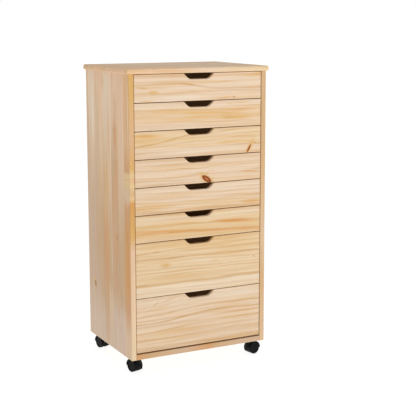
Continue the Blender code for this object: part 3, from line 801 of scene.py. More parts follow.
def growth_rings(tree, board, place, level, through):
    """Latewood from 0 to 1: rings round the tree's pith, each one slow to darken and quick to end."""
    from_pith = add(tree, "ShaderNodeMath", {0: level, 1: board.pith[0]}, operation="SUBTRACT")
    depth = add(tree, "ShaderNodeMath", {0: through, 1: board.pith[1]}, operation="SUBTRACT")
    both = add(tree, "ShaderNodeCombineXYZ", {0: from_pith, 1: depth})
    radius = add(tree, "ShaderNodeVectorMath", {0: both}, operation="LENGTH").outputs["Value"]
    uneven = stretched_noise(tree, place, UNEVEN_YEARS, seed=11)
    count = add(tree, "ShaderNodeMath", {0: radius, 1: 1 / board.spacing, 2: uneven},
                operation="MULTIPLY_ADD")
    age = add(tree, "ShaderNodeMath", {0: count}, operation="FRACT")
    rising = add(tree, "ShaderNodeMapRange", {VALUE: age, LOW: 0.25, HIGH: 0.9}, **SMOOTH)
    falling = add(tree, "ShaderNodeMapRange", {VALUE: age, LOW: 0.9, HIGH: 1, TO_LOW: 1, TO_HIGH: 0},
                  **SMOOTH)
    ring = add(tree, "ShaderNodeMath", {0: rising, 1: falling}, operation="MULTIPLY")
    year = add(tree, "ShaderNodeMath", {0: count}, operation="FLOOR")
    chance = add(tree, "ShaderNodeTexWhiteNoise", {"W": year}, noise_dimensions="1D").outputs["Value"]
    density = add(tree, "ShaderNodeMapRange", {VALUE: chance, TO_LOW: 0.3, TO_HIGH: 1})
    return add(tree, "ShaderNodeMath", {0: ring, 1: density}, operation="MULTIPLY")


def bent_round_knots(tree, board, own_place, across, level):
    """The level of the grain, pushed aside round each knot."""
    for knot in board.knots:
        pushed = add(tree, "ShaderNodeMapRange",
                     {VALUE: oval_distance(tree, own_place, knot), LOW: 0.6, HIGH: 3.2, TO_LOW: -0.55,
                      TO_HIGH: 0}, **SMOOTH)
        offset = add(tree, "ShaderNodeMath", {0: across, 1: knot.across}, operation="SUBTRACT")
        level = add(tree, "ShaderNodeMath", {0: offset, 1: pushed, 2: level}, operation="MULTIPLY_ADD")
    return level


def with_marks(tree, board, colour, along, across, own_place, shown):
    """The colour with the board's lines and patches, gathered by their tone."""
    pine = bpy.context.scene.cart_pine
    for tone in MARK_TONES:
        shares = [line_share(tree, board, along, across, line) for line in board.lines if line.tone == tone]
        for patch in board.patches:
            if patch.tone == tone:
                distance = oval_distance(tree, own_place, patch)
                shares.append(add(tree, "ShaderNodeMapRange",
                                  {VALUE: distance, LOW: 0.2, HIGH: 1.15, TO_LOW: patch.strength,
                                   TO_HIGH: 0}, **SMOOTH))
        if shares:
            share = add(tree, "ShaderNodeMath", {0: strongest(tree, shares), 1: shown}, operation="MULTIPLY")
            colour = add(tree, "ShaderNodeMix", {"Factor": share, "A": colour, "B": getattr(pine, tone)},
                         **COLOUR_MIX)
    return colour


def with_knots(tree, board, colour, own_place):
    """The colour with the board's knots: a golden halo, then the core, its ring and its rim."""
    pine = bpy.context.scene.cart_pine
    for knot in board.knots:
        distance = oval_distance(tree, own_place, knot)
        rough = stretched_noise(tree, own_place, KNOT_EDGES, seed=31)
        ragged = add(tree, "ShaderNodeMath", {0: rough, 1: 0.35, 2: distance}, operation="MULTIPLY_ADD")
        halo = add(tree, "ShaderNodeMapRange",
                   {VALUE: ragged, LOW: 0.9, HIGH: knot.halo + 0.3, TO_LOW: 0.85, TO_HIGH: 0}, **SMOOTH)
        colour = add(tree, "ShaderNodeMix", {"Factor": halo, "A": colour, "B": pine.golden}, **COLOUR_MIX)
        shades = add(tree, "ShaderNodeValToRGB", {0: ragged})
        fill_ramp(shades, ((0.15, linear(knot.core)), (0.5, linear(knot.ring)), (0.85, linear(knot.rim))))
        body = add(tree, "ShaderNodeMapRange",
                   {VALUE: ragged, LOW: 1, HIGH: 1.2, TO_LOW: 1, TO_HIGH: 0}, **SMOOTH)
        colour = add(tree, "ShaderNodeMix", {"Factor": body, "A": colour, "B": shades}, **COLOUR_MIX)
    return colour


def pine_material(name, board, lacquered=True):
    """Pine, planed and sanded: a lacquered board shows creamy sapwood between soft golden bands, a fine fibre
    along the grain and a satin surface; an unlacquered one inside the drawers is plainer and duller, and
    carries a faint painted brown glow."""
    pine = bpy.context.scene.cart_pine
    made, tree, shader = new_material(name)
    own_place = board_place(tree, board)
    along, own_across, own_through = add(tree, "ShaderNodeSeparateXYZ", {0: own_place}).outputs
    colour, number = stave_tones(tree, board, along, own_across)
    place, length, across, through = own_place, along, own_across, own_through
    if number is not None:
        # The staves of a glued panel come from different trees, so the grain jumps at each joint
        jump = add(tree, "ShaderNodeTexWhiteNoise", {"W": number}, noise_dimensions="1D").outputs["Color"]
        place = add(tree, "ShaderNodeVectorMath", {0: jump, 1: STAVE_JUMP, 2: own_place},
                    operation="MULTIPLY_ADD")
        length, across, through = add(tree, "ShaderNodeSeparateXYZ", {0: place}).outputs

    # The level of the grain across the board, which ripples, wanders and bends round knots
    noise = stretched_noise(tree, place, RIPPLES, seed=3)
    ripple = add(tree, "ShaderNodeMapRange", {VALUE: noise, LOW: NOISE_LOW, HIGH: NOISE_HIGH,
                                              TO_LOW: -RIPPLE_HEIGHT, TO_HIGH: RIPPLE_HEIGHT})
    noise = stretched_noise(tree, place, WANDERING, seed=7, detail=1)
    wander = add(tree, "ShaderNodeMapRange", {VALUE: noise, LOW: NOISE_LOW, HIGH: NOISE_HIGH,
                                              TO_LOW: -board.wander, TO_HIGH: board.wander})
    marked = add(tree, "ShaderNodeMath", {0: own_across, 1: ripple}, operation="ADD")
    level = add(tree, "ShaderNodeMath", {0: length, 1: board.slope, 2: across}, operation="MULTIPLY_ADD")
    level = add(tree, "ShaderNodeMath", {0: level, 1: ripple}, operation="ADD")
    level = add(tree, "ShaderNodeMath", {0: level, 1: wander}, operation="ADD")
    level = bent_round_knots(tree, board, own_place, own_across, level)

    # Broad golden clouds, then the growth rings, then the marks and the knots
    noise = stretched_noise(tree, place, CLOUDS, seed=17)
    cloud = add(tree, "ShaderNodeMapRange",
                {VALUE: noise, LOW: 0.4, HIGH: 0.72, TO_LOW: 0, TO_HIGH: board.golden}, **SMOOTH)
    colour = add(tree, "ShaderNodeMix", {"Factor": cloud, "A": colour, "B": pine.golden}, **COLOUR_MIX)
    ring = growth_rings(tree, board, place, level, through)
    noise = stretched_noise(tree, place, STREAKS, seed=23)
    streak = add(tree, "ShaderNodeMapRange",
                 {VALUE: noise, LOW: 0.3, HIGH: 0.7, TO_LOW: 0.45, TO_HIGH: 1.25})
    ring = add(tree, "ShaderNodeMath", {0: ring, 1: streak}, operation="MULTIPLY")
    share = add(tree, "ShaderNodeMath", {0: ring, 1: board.ring_strength}, operation="MULTIPLY")
    colour = add(tree, "ShaderNodeMix", {"Factor": share, "A": colour, "B": pine.latewood}, **COLOUR_MIX)
    shown = add(tree, "ShaderNodeMath", {0: streak, 1: pine.marks}, operation="MULTIPLY")
    colour = with_marks(tree, board, colour, along, marked, own_place, shown)
    colour = with_knots(tree, board, colour, own_place)

    # Fibres and faint stripes change the brightness, and short resin canals are brown
    fibre = stretched_noise(tree, place, FIBRES, seed=41, detail=3)
    brightness = add(tree, "ShaderNodeMapRange", {VALUE: fibre, LOW: NOISE_LOW, HIGH: NOISE_HIGH,
                                                  TO_LOW: 0.955, TO_HIGH: 1.045})
    colour = add(tree, "ShaderNodeVectorMath", {0: colour, "Scale": brightness}, operation="SCALE")
    noise = stretched_noise(tree, place, STRIPES, seed=53, detail=1)
    stripe = add(tree, "ShaderNodeMapRange", {VALUE: noise, LOW: 0.3, HIGH: 0.7,
                                              TO_LOW: 1 - board.stripes, TO_HIGH: 1 + board.stripes})
    colour = add(tree, "ShaderNodeVectorMath", {0: colour, "Scale": stripe}, operation="SCALE")
    noise = stretched_noise(tree, place, RESIN_CANALS, seed=47, detail=0)
    canal = add(tree, "ShaderNodeMapRange",
                {VALUE: noise, LOW: 0.71, HIGH: 0.8, TO_LOW: 0, TO_HIGH: 0.3})
    colour = add(tree, "ShaderNodeMix", {"Factor": canal, "A": colour, "B": pine.brown}, **COLOUR_MIX)

    # End grain is darker, as pine's end grain is, where the surface faces along the grain. On the drawer
    # fronts' ends, in the gaps beside the side boards, this darkening is also painted shade.
    end = add(tree, "ShaderNodeMapRange", {VALUE: facing_along(tree, board.axes[0]), LOW: 0.8, HIGH: 0.98,
                                           TO_LOW: 0, TO_HIGH: 0.22})
    colour = add(tree, "ShaderNodeMix", {"Factor": end, "A": colour, "B": pine.latewood}, **COLOUR_MIX)

    roughness = pine.roughness if lacquered else pine.inside_roughness
    satin = add(tree, "ShaderNodeMapRange",
                {VALUE: fibre, LOW: 0.2, HIGH: 0.8, TO_LOW: roughness - 0.05, TO_HIGH: roughness + 0.07})
    raised = add(tree, "ShaderNodeMath", {0: ring, 1: 0.5, 2: fibre}, operation="MULTIPLY_ADD")
    bump = add(tree, "ShaderNodeBump", {"Strength": 0.5, "Distance": pine.relief, "Height": raised})
    wire_shader(tree, shader, {"Base Color": colour, "Roughness": satin, "Normal": bump})
    shader.inputs["Specular IOR Level"].default_value = PINE_SPECULAR
    if not lacquered:
        # A painted glow: faint brown emission that stands in for the light that goes from board to board
        # inside a closed drawer, and shows on these boards wherever they are.
        shader.inputs["Emission Color"].default_value = (*pine.painted_inside_glow, 1)
        shader.inputs["Emission Strength"].default_value = pine.painted_inside_glow_strength
    return made


def plywood_material(name, board):
    """Pine plywood, rotary cut and pressed: a wide wavy figure on its faces and plies at its edges."""
    pine = bpy.context.scene.cart_pine
    made, tree, shader = new_material(name)
    place = board_place(tree, board)
    along, across, through = add(tree, "ShaderNodeSeparateXYZ", {0: place}).outputs
    colour = stave_tones(tree, board, along, across)[0]
    figure = stretched_noise(tree, place, VENEER_FIGURE, seed=5, detail=1)
    waves = add(tree, "ShaderNodeMath", {0: figure, 1: VENEER_BANDS}, operation="MULTIPLY")
    age = add(tree, "ShaderNodeMath", {0: waves}, operation="FRACT")
    ring = add(tree, "ShaderNodeMapRange",
               {VALUE: age, LOW: 0.3, HIGH: 1, TO_LOW: 0, TO_HIGH: 0.22}, **SMOOTH)
    colour = add(tree, "ShaderNodeMix", {"Factor": ring, "A": colour, "B": pine.golden}, **COLOUR_MIX)
    fibre = stretched_noise(tree, place, VENEER_FIBRES, seed=9, detail=3)
    brightness = add(tree, "ShaderNodeMapRange", {VALUE: fibre, LOW: NOISE_LOW, HIGH: NOISE_HIGH,
                                                  TO_LOW: 0.94, TO_HIGH: 1.04})
    colour = add(tree, "ShaderNodeVectorMath", {0: colour, "Scale": brightness}, operation="SCALE")

    # The grain of every other ply runs across, which shows at the sheet's edges
    ply = add(tree, "ShaderNodeMath", {0: through, 1: PLY_THICKNESS}, operation="DIVIDE")
    pair = add(tree, "ShaderNodeMath", {0: ply, 1: 2}, operation="FLOORED_MODULO")
    crossing = add(tree, "ShaderNodeMath", {0: pair, 1: 1}, operation="GREATER_THAN")
    edge = add(tree, "ShaderNodeMapRange", {VALUE: facing_along(tree, board.axes[2]), LOW: 0.3, HIGH: 0.7,
                                            TO_LOW: 0.7, TO_HIGH: 0})
    plies = add(tree, "ShaderNodeMath", {0: crossing, 1: edge}, operation="MULTIPLY")
    colour = add(tree, "ShaderNodeMix", {"Factor": plies, "A": colour, "B": pine.peach}, **COLOUR_MIX)
    rough = add(tree, "ShaderNodeMapRange", {VALUE: fibre, TO_LOW: 0.55, TO_HIGH: 0.7})
    bump = add(tree, "ShaderNodeBump", {"Strength": 0.5, "Distance": pine.relief, "Height": fibre})
    wire_shader(tree, shader, {"Base Color": colour, "Roughness": rough, "Normal": bump})
    return made


def nylon_material(name, roughness):
    """Nylon, injection moulded: black, with a fine satin grain and a soft gloss along its edges."""
    casters = bpy.context.scene.cart_casters
    made, tree, shader = new_material(name)
    spot = add(tree, "ShaderNodeTexCoord").outputs["Object"]
    grain = add(tree, "ShaderNodeTexNoise",
                {"Vector": spot, "Scale": PER_METRE / NYLON_GRAIN, "Detail": 3}).outputs[0]
    haze = add(tree, "ShaderNodeTexNoise",
               {"Vector": spot, "Scale": PER_METRE / NYLON_HAZE, "Detail": 2}).outputs[0]
    dust = add(tree, "ShaderNodeMapRange", {VALUE: haze, LOW: 0.4, HIGH: 0.8, TO_LOW: 0, TO_HIGH: 0.035})
    colour = add(tree, "ShaderNodeMix", {"Factor": dust, "A": casters.nylon, "B": NYLON_DUST},
                 **COLOUR_MIX)
    rough = add(tree, "ShaderNodeMapRange",
                {VALUE: haze, LOW: 0.3, HIGH: 0.7, TO_LOW: roughness - 0.05, TO_HIGH: roughness + 0.07})
    bump = add(tree, "ShaderNodeBump",
               {"Strength": 0.35, "Distance": NYLON_GRAIN_HEIGHT * MM, "Height": grain})
    wire_shader(tree, shader, {"Base Color": colour, "Roughness": rough, "Normal": bump})
    shader.inputs["Specular IOR Level"].default_value = NYLON_SPECULAR
    return made


def zinc_material(name):
    """Steel, pressed and zinc plated: grey with a faint cloudy spangle and a dull mirror."""
    casters = bpy.context.scene.cart_casters
    made, tree, shader = new_material(name)
    spot = add(tree, "ShaderNodeTexCoord").outputs["Object"]
    spangle = add(tree, "ShaderNodeTexVoronoi", {"Vector": spot, "Scale": PER_METRE / ZINC_SPANGLE},
                  feature="SMOOTH_F1").outputs["Distance"]
    cloud = add(tree, "ShaderNodeMapRange",
                {VALUE: spangle, LOW: 0, HIGH: 0.8, TO_LOW: 0, TO_HIGH: 0.35})
    colour = add(tree, "ShaderNodeMix", {"Factor": cloud, "A": casters.zinc, "B": ZINC_CLOUD}, **COLOUR_MIX)
    rough = add(tree, "ShaderNodeMapRange",
                {VALUE: spangle, LOW: 0, HIGH: 0.8, TO_LOW: 0.26, TO_HIGH: 0.42})
    wire_shader(tree, shader, {"Base Color": colour, "Roughness": rough})
    shader.inputs["Metallic"].default_value = 1
    return made


# Shapes
def cad_solid(node):
    """A packed node's own solid as a bmesh, welded, with each flat face in one piece."""
    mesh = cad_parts[node].data
    solid = bmesh.new()
    points = [solid.verts.new(vertex.co) for vertex in mesh.vertices]
    for polygon in mesh.polygons:
        solid.faces.new([points[index] for index in polygon.vertices])
    bmesh.ops.remove_doubles(solid, verts=solid.verts, dist=WELD)
    bmesh.ops.dissolve_limit(solid, angle_limit=FLAT_ANGLE, verts=solid.verts, edges=solid.edges)
    bmesh.ops.recalc_face_normals(solid, faces=solid.faces)
    return solid


def ease_edges(solid, radius, segments=3):
    """Rounds every edge sharper than the eased angle."""
    sharp = [e for e in solid.edges if len(e.link_faces) == 2 and e.calc_face_angle() > EASED_ANGLE]
    bmesh.ops.bevel(
        solid, geom=sharp, offset=radius, offset_type="OFFSET", segments=segments, profile=0.5,
        affect="EDGES", clamp_overlap=True,
    )


def arc(centre, radius, start, end, steps):
    """Points along an arc, both ends included."""
    turns = [start + (end - start) * step / steps for step in range(steps + 1)]
    return [(centre[0] + radius * math.cos(t), centre[1] + radius * math.sin(t)) for t in turns]


def rounded(corners, steps=10):
    """A closed outline whose corners (u, v, radius) are turned into arcs."""
    outline = []
    for index, (u, v, radius) in enumerate(corners):
        here = Vector((u, v))
        before = (Vector(corners[index - 1][:2]) - here).normalized()
        after = (Vector(corners[(index + 1) % len(corners)][:2]) - here).normalized()
        half = before.angle(after) / 2
        middle = here + (before + after).normalized() * radius / math.sin(half)
        start = here + before * radius / math.tan(half) - middle
        turn = -start.angle_signed(here + after * radius / math.tan(half) - middle)
        for step in range(steps + 1):
            outline.append(middle + Matrix.Rotation(turn * step / steps, 2) @ start)
    return outline


# A front's corners, as a share of its edge radius that stays above it, and the least radius of a drawn-in lip
OUTER_CORNER = 1.2
LEAST_LIP = 0.2 * MM


def front_outline(half, height, outer, hollow):
    """A drawer front's outline, drawn in by `outer` all round and by `hollow` in its finger cut-out."""
    edges = bpy.context.scene.cart_edges
    floor, top = height - edges.cutout_depth, height - outer
    foot = Vector((edges.cutout_floor / 2, floor))
    wall = (Vector((edges.cutout_top / 2, height)) - foot).normalized()
    moved = foot + Vector((wall.y, -wall.x)) * hollow
    lip = moved + wall * (top - moved.y) / wall.y
    heel = moved + wall * (floor - hollow - moved.y) / wall.y
    corner = OUTER_CORNER * edges.front_radius - outer
    lip_radius = max(edges.cutout_lip - outer, LEAST_LIP)
    return rounded([
        (outer - half, outer, corner),
        (half - outer, outer, corner),
        (half - outer, top, corner),
        (lip.x, lip.y, lip_radius),
        (heel.x, heel.y, edges.cutout_corner + hollow),
        (-heel.x, heel.y, edges.cutout_corner + hollow),
        (-lip.x, lip.y, lip_radius),
        (outer - half, top, corner),
    ])


def drawn_in(radius, depth):
    """How far a rounded edge stands back at a depth behind the face."""
    return radius - math.sqrt(radius ** 2 - max(radius - depth, 0) ** 2)


def lofted_solid(outlines):
    """A solid through closed outlines of equal length, given as rows of points, with flat ends."""
    solid = bmesh.new()
    rings = [[solid.verts.new(point) for point in outline] for outline in outlines]
    for one, other in zip(rings, rings[1:]):
        for index in range(len(one)):
            solid.faces.new((one[index - 1], one[index], other[index], other[index - 1]))
    solid.faces.new(rings[0])
    solid.faces.new(rings[-1])
    return solid


def turned_solid(solid, profile, steps, origin, axis):
    """Adds a solid of revolution to a bmesh. The profile runs as (radius, height) from axis to axis."""
    turn = Vector((0, 0, 1)).rotation_difference(axis).to_matrix()
    rings = []
    for radius, height in profile:
        count = 1 if radius == 0 else steps
        ring = []
        for step in range(count):
            angle = 2 * math.pi * step / steps
            point = Vector((radius * math.cos(angle), radius * math.sin(angle), height))
            ring.append(solid.verts.new(origin + turn @ point))
        rings.append(ring)
    for one, other in zip(rings, rings[1:]):
        for step in range(steps):
            corners = [one[step - 1], one[step]] if len(one) > 1 else [one[0]]
            corners += [other[step], other[step - 1]] if len(other) > 1 else [other[0]]
            solid.faces.new(corners)


def in_millimetres(profile, foot=0):
    """A profile given in millimetres, in metres above a foot."""
    return [(radius * MM, foot + height * MM) for radius, height in profile]


def scene_object(name, solid):
    """An object in the scene with a bmesh as its mesh."""
    mesh = bpy.data.meshes.new(name)
    solid.to_mesh(mesh)
    solid.free()
    made = bpy.data.objects.new(name, mesh)
    bpy.context.scene.collection.objects.link(made)
    return made


def finish_piece(name, solid, materials, body, slot, *nodes):
    """Makes the piece: smooth where it is round and flat where it is flat, riding on its body."""
    bmesh.ops.recalc_face_normals(solid, faces=solid.faces)
    piece = scene_object(name, solid)
    for finish in materials:
        piece.data.materials.append(finish)
    piece.data.shade_smooth()
    piece.data.set_sharp_from_angle(angle=SHARP_ANGLE)
    flat = piece.modifiers.new("flat faces", "WEIGHTED_NORMAL")
    flat.keep_sharp = True
    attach(piece, body)
    if nodes:
        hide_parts(*nodes)
    return piece


def eased_copy(name, node, finish, body, slot, radius, segments=3):
    """A piece in the shape of a packed node, with its sharp edges rounded."""
    solid = cad_solid(node)
    ease_edges(solid, radius, segments)
    return finish_piece(name, solid, [finish], body, slot, node)


def dress(nodes, finish):
    """Gives packed nodes, whose shape is right, their finish."""
    for name in nodes:
        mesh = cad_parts[name].data
        mesh.materials.clear()
        mesh.materials.append(finish)


# Carcass: plywood's edges are this many times sharper than those of the planed boards
PLY_SHARPNESS = 3


class CartTopBoard(bpy.types.Operator):
    """Make the top board, glued from staves and rounded all round"""

    bl_idname = "cart.top_board"
    bl_label = "Top board"

    def execute(self, context):
        low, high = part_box("top_panel")
        solid = bmesh.new()
        size = high - low
        place = Matrix.Translation((low + high) / 2) @ Matrix.Diagonal((*size, 1))
        bmesh.ops.create_cube(solid, size=1, matrix=place)
        ease_edges(solid, context.scene.cart_edges.top_radius, segments=8)
        board = Board((X, Y, Z), (0, 0, low.z), CART_WIDTH, CART_DEPTH, TOP_STAVES, spacing=8, wander=7,
                      pith=(0, -60))
        finish = pine_material("pine_lacquered_top", board)
        finish_piece("top_board", solid, [finish], "root", "pine", "top_panel")
        return {"FINISHED"}


class CartSideBoards(bpy.types.Operator):
    """Make the two side boards, glued from staves that run from the casters to the top"""

    bl_idname = "cart.side_boards"
    bl_label = "Side boards"

    def execute(self, context):
        radius = context.scene.cart_edges.panel_radius
        left = Board((Z, Y, X), (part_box("side_panel_left")[0].x, 0, 0), CART_HEIGHT, CART_DEPTH,
                     LEFT_PANEL_STAVES, ring_strength=0.45, golden=0.1, pith=(0, 70), stripes=0.06,
                     patches=LEFT_PANEL_PATCHES, knots=LEFT_PANEL_KNOTS)
        right = Board((Z, Y, X), (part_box("side_panel_right")[0].x, 0, 0), CART_HEIGHT, CART_DEPTH,
                      RIGHT_PANEL_STAVES, ring_strength=0.4, golden=0.15, pith=(0, -70), stripes=0.04,
                      patches=RIGHT_PANEL_PATCHES, knots=RIGHT_PANEL_KNOTS)
        for side, board in zip(SIDES, (left, right)):
            finish = pine_material(f"pine_lacquered_side_{side}", board)
            eased_copy(f"side_board_{side}", f"side_panel_{side}", finish, "root", "pine", radius)
        return {"FINISHED"}


class CartFloorBoard(bpy.types.Operator):
    """Make the bottom board, whose front edge shows under the lowest drawer"""

    bl_idname = "cart.floor_board"
    bl_label = "Floor board"

    def execute(self, context):
        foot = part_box("bottom_panel")[0].z
        board = Board((X, Y, Z), (0, 0, foot), INNER_WIDTH, CART_DEPTH, FLOOR_STAVES, spacing=8, golden=0.12,
                      pith=(0, -70))
        finish = pine_material("pine_lacquered_floor", board)
        radius = context.scene.cart_edges.panel_radius
        eased_copy("floor_board", "bottom_panel", finish, "root", "pine", radius)
        return {"FINISHED"}


class CartInnerCarcass(bpy.types.Operator):
    """Make the back panel, the rail and the runners"""

    bl_idname = "cart.inner_carcass"
    bl_label = "Back, rail and runners"

    def execute(self, context):
        radius = context.scene.cart_edges.tray_radius
        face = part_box("back_panel")[0].y
        sheet = Board((Z, X, Y), (0, face, 0), CART_HEIGHT, INNER_WIDTH, one_piece("cream"))
        finish = plywood_material("plywood_pressed_back", sheet)
        eased_copy("back_sheet", "back_panel", finish, "root", "plywood", radius / PLY_SHARPNESS)
        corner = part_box("rear_top_rail")[0]
        rail = Board((X, Z, Y), corner, INNER_WIDTH, RAIL_WIDTH, one_piece("straw"), pith=(-60, 90))
        finish = pine_material("pine_planed_rail", rail, lacquered=False)
        eased_copy("rear_rail", "rear_top_rail", finish, "root", "pine_inside", radius)
        strip = Board((Y, Z, X), (0, 0, 0), TRAY_DEPTH, CART_HEIGHT, one_piece("straw"), spacing=6,
                      pith=(0, 90))
        finish = pine_material("pine_planed_runners", strip, lacquered=False)
        for side in SIDES:
            eased_copy(f"runner_strips_{side}", f"runners_{side}", finish, "root", "pine_inside", radius)
        return {"FINISHED"}


# Drawers: the thickness of a drawer's side, inside which the back runs across
TRAY_SIDE = 12 * MM


class CartDrawerFronts(bpy.types.Operator):
    """Make the eight drawer fronts with their finger cut-outs, each from its own board"""

    bl_idname = "cart.drawer_fronts"
    bl_label = "Drawer fronts"

    def execute(self, context):
        edges = context.scene.cart_edges
        for number in DRAWERS:
            node = f"drawer_{number}_front"
            low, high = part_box(node)
            half, height = high.x, high.z - low.z
            outlines = []
            for turn in EASE_TURNS:
                depth = edges.cutout_ease * (1 - math.cos(turn))
                flat = front_outline(half, height, drawn_in(edges.front_radius, depth),
                                     drawn_in(edges.cutout_ease, depth))
                outlines.append([(u, low.y + depth, low.z + v) for u, v in flat])
            for turn in reversed(EASE_TURNS):
                depth = edges.front_radius * (1 - math.cos(turn))
                away = drawn_in(edges.front_radius, depth)
                flat = front_outline(half, height, away, away)
                outlines.append([(u, high.y - depth, low.z + v) for u, v in flat])
            solid = lofted_solid(outlines)
            board = Board((X, Z, Y), (0, low.y, low.z), 2 * half * PER_METRE, height * PER_METRE,
                          **FRONT_MARKS[number])
            finish = pine_material(f"pine_lacquered_front_{number}", board)
            finish_piece(f"drawer_{number}_face", solid, [finish], f"drawer_{number}", "pine", node)
        return {"FINISHED"}


class CartDrawerTrays(bpy.types.Operator):
    """Make the sides, back and bottom of each drawer, in planed pine and plywood"""

    bl_idname = "cart.drawer_trays"
    bl_label = "Drawer boxes"

    def execute(self, context):
        radius = context.scene.cart_edges.tray_radius
        side_board = Board((Y, Z, X), (0, 0, 0), TRAY_DEPTH, CART_HEIGHT, one_piece("cream"), spacing=7,
                           pith=(0, 120), golden=0.3)
        back_board = Board((X, Z, Y), (0, 0, 0), INNER_WIDTH, CART_HEIGHT, one_piece("cream"), spacing=7,
                           pith=(0, 120), golden=0.3)
        sheet = Board((X, Y, Z), (0, 0, 0), INNER_WIDTH, TRAY_DEPTH, one_piece("straw"))
        finishes = [
            pine_material("pine_planed_sides", side_board, lacquered=False),
            pine_material("pine_planed_backs", back_board, lacquered=False),
        ]
        ply = plywood_material("plywood_pressed_bottoms", sheet)
        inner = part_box("drawer_1_box")[1].x - TRAY_SIDE
        for number in DRAWERS:
            node = f"drawer_{number}_box"
            solid = cad_solid(node)
            ease_edges(solid, radius)
            for side in (-1, 1):
                everything = [*solid.verts, *solid.edges, *solid.faces]
                bmesh.ops.bisect_plane(solid, geom=everything, plane_co=(side * inner, 0, 0),
                                       plane_no=(1, 0, 0))
            for face in solid.faces:
                face.material_index = 0 if abs(face.calc_center_median().x) > inner - WELD else 1
            finish_piece(f"drawer_{number}_tray", solid, finishes, f"drawer_{number}", "pine", node)
            eased_copy(f"drawer_{number}_base", f"drawer_{number}_bottom", ply, f"drawer_{number}", "plywood",
                       radius / PLY_SHARPNESS)
        return {"FINISHED"}


# Casters: the moulded hood, and profiles turned about an axis, as (radius, height) in millimetres
HOOD_HALF_WIDTH = 17.6 * MM
HOOD_OUTER = 24.3 * MM
HOOD_INNER = 22.7 * MM
HOOD_BACK_ANGLE = math.radians(-4)
HOOD_FRONT_ANGLE = math.radians(214)
WEB_HALF = 2.5 * MM
WEB_FOOT = 5 * MM
NECK_RADIUS = 10.5 * MM
NECK_FOOT = 8 * MM
HUB_PROFILE = ((0, -3.1), (6.4, -3.1), (7, -2.6), (7, 2.6), (6.4, 3.1), (0, 3.1))
NECK_TOP_PROFILE = ((10.5, -1.2), (10.2, -0.4), (9.4, 0), (4.4, 0), (4.4, -3), (0, -3))

# Wheels: from the axle's middle to the inner and the outer face, and the radii round the tread and the bore
WHEEL_INNER_FACE = 3.3 * MM
WHEEL_OUTER_FACE = 15.6 * MM
TREAD_RADIUS = 2.3 * MM
TREAD_CROWN = 0.05 * MM
WHEEL_INNER_RADIUS = 0.9 * MM
WHEEL_BORE = 2.8 * MM
WHEEL_FACE_WALL = 3 * MM

# Screws: their places, the shank, the head as (share of its radius, height in millimetres), and the recess
SCREW_OFFSET = 14 * MM
SCREW_STEPS = 32
SHANK_RADIUS = 1.8 * MM
SHANK_LENGTH = 2.3 * MM
PLATE_THICKNESS = 2.5 * MM
PLATE_EASE = 0.3 * MM
HEAD_PROFILE = ((0, -1.9), (0.5, -1.85), (0.82, -1.5), (0.97, -0.9), (1, -0.3), (0.97, 0))
RECESS_REACH = 1.15
RECESS_WIDTH = 0.9 * MM
RECESS_DEPTH = 1.6 * MM
FIRST_SCREW_TURN = 17
SCREW_TURN_STEP = 31


def caster_frame(name):
    """A caster's swivel axis on the floor, the direction in which it trails, and the height of its axle."""
    axle_low, axle_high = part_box(f"{name}_axle")
    pin_low, pin_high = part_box(f"{name}_pin")
    axle = (axle_low + axle_high) / 2
    swivel = (pin_low + pin_high) / 2
    trail = Vector((axle.x - swivel.x, axle.y - swivel.y, 0))
    return Vector((swivel.x, swivel.y, 0)), trail, axle.z


class CartHoods(bpy.types.Operator):
    """Make the casters' hoods, each with its web, hub and neck in one moulding"""

    bl_idname = "cart.hoods"
    bl_label = "Caster hoods"

    def execute(self, context):
        settings = context.scene.cart_casters
        finish = nylon_material("nylon_moulded_hood", roughness=0.36)
        shoulder = settings.shoulder
        left = arc((HOOD_HALF_WIDTH - shoulder, HOOD_OUTER - shoulder), shoulder, 0, math.pi / 2, 6)
        right = [(-across, radius) for across, radius in reversed(left)]
        section = [(WEB_HALF, WEB_FOOT), (WEB_HALF, HOOD_INNER), (HOOD_HALF_WIDTH, HOOD_INNER), *left, *right,
                   (-HOOD_HALF_WIDTH, HOOD_INNER), (-WEB_HALF, HOOD_INNER), (-WEB_HALF, WEB_FOOT)]
        steps = 2 * settings.steps // 3
        for name in CASTERS:
            swivel, trail, height = caster_frame(name)
            ahead = trail.normalized()
            axle = Vector((-ahead.y, ahead.x, 0))
            centre = swivel + trail + Vector((0, 0, height))
            outlines = []
            for step in range(steps + 1):
                angle = HOOD_BACK_ANGLE + (HOOD_FRONT_ANGLE - HOOD_BACK_ANGLE) * step / steps
                out = ahead * math.cos(angle) + Vector((0, 0, math.sin(angle)))
                outlines.append([centre + axle * across + out * radius for across, radius in section])
            solid = lofted_solid(outlines)
            turned_solid(solid, in_millimetres(HUB_PROFILE), settings.steps // 2, centre, axle)
            neck_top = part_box(f"{name}_housing")[1].z
            neck = [(0, height + NECK_FOOT), (NECK_RADIUS, height + NECK_FOOT),
                    *in_millimetres(NECK_TOP_PROFILE, neck_top)]
            turned_solid(solid, neck, settings.steps // 2, swivel, Vector((0, 0, 1)))
            finish_piece(f"{name}_hood", solid, [finish], name, "black_nylon", f"{name}_housing")
        return {"FINISHED"}


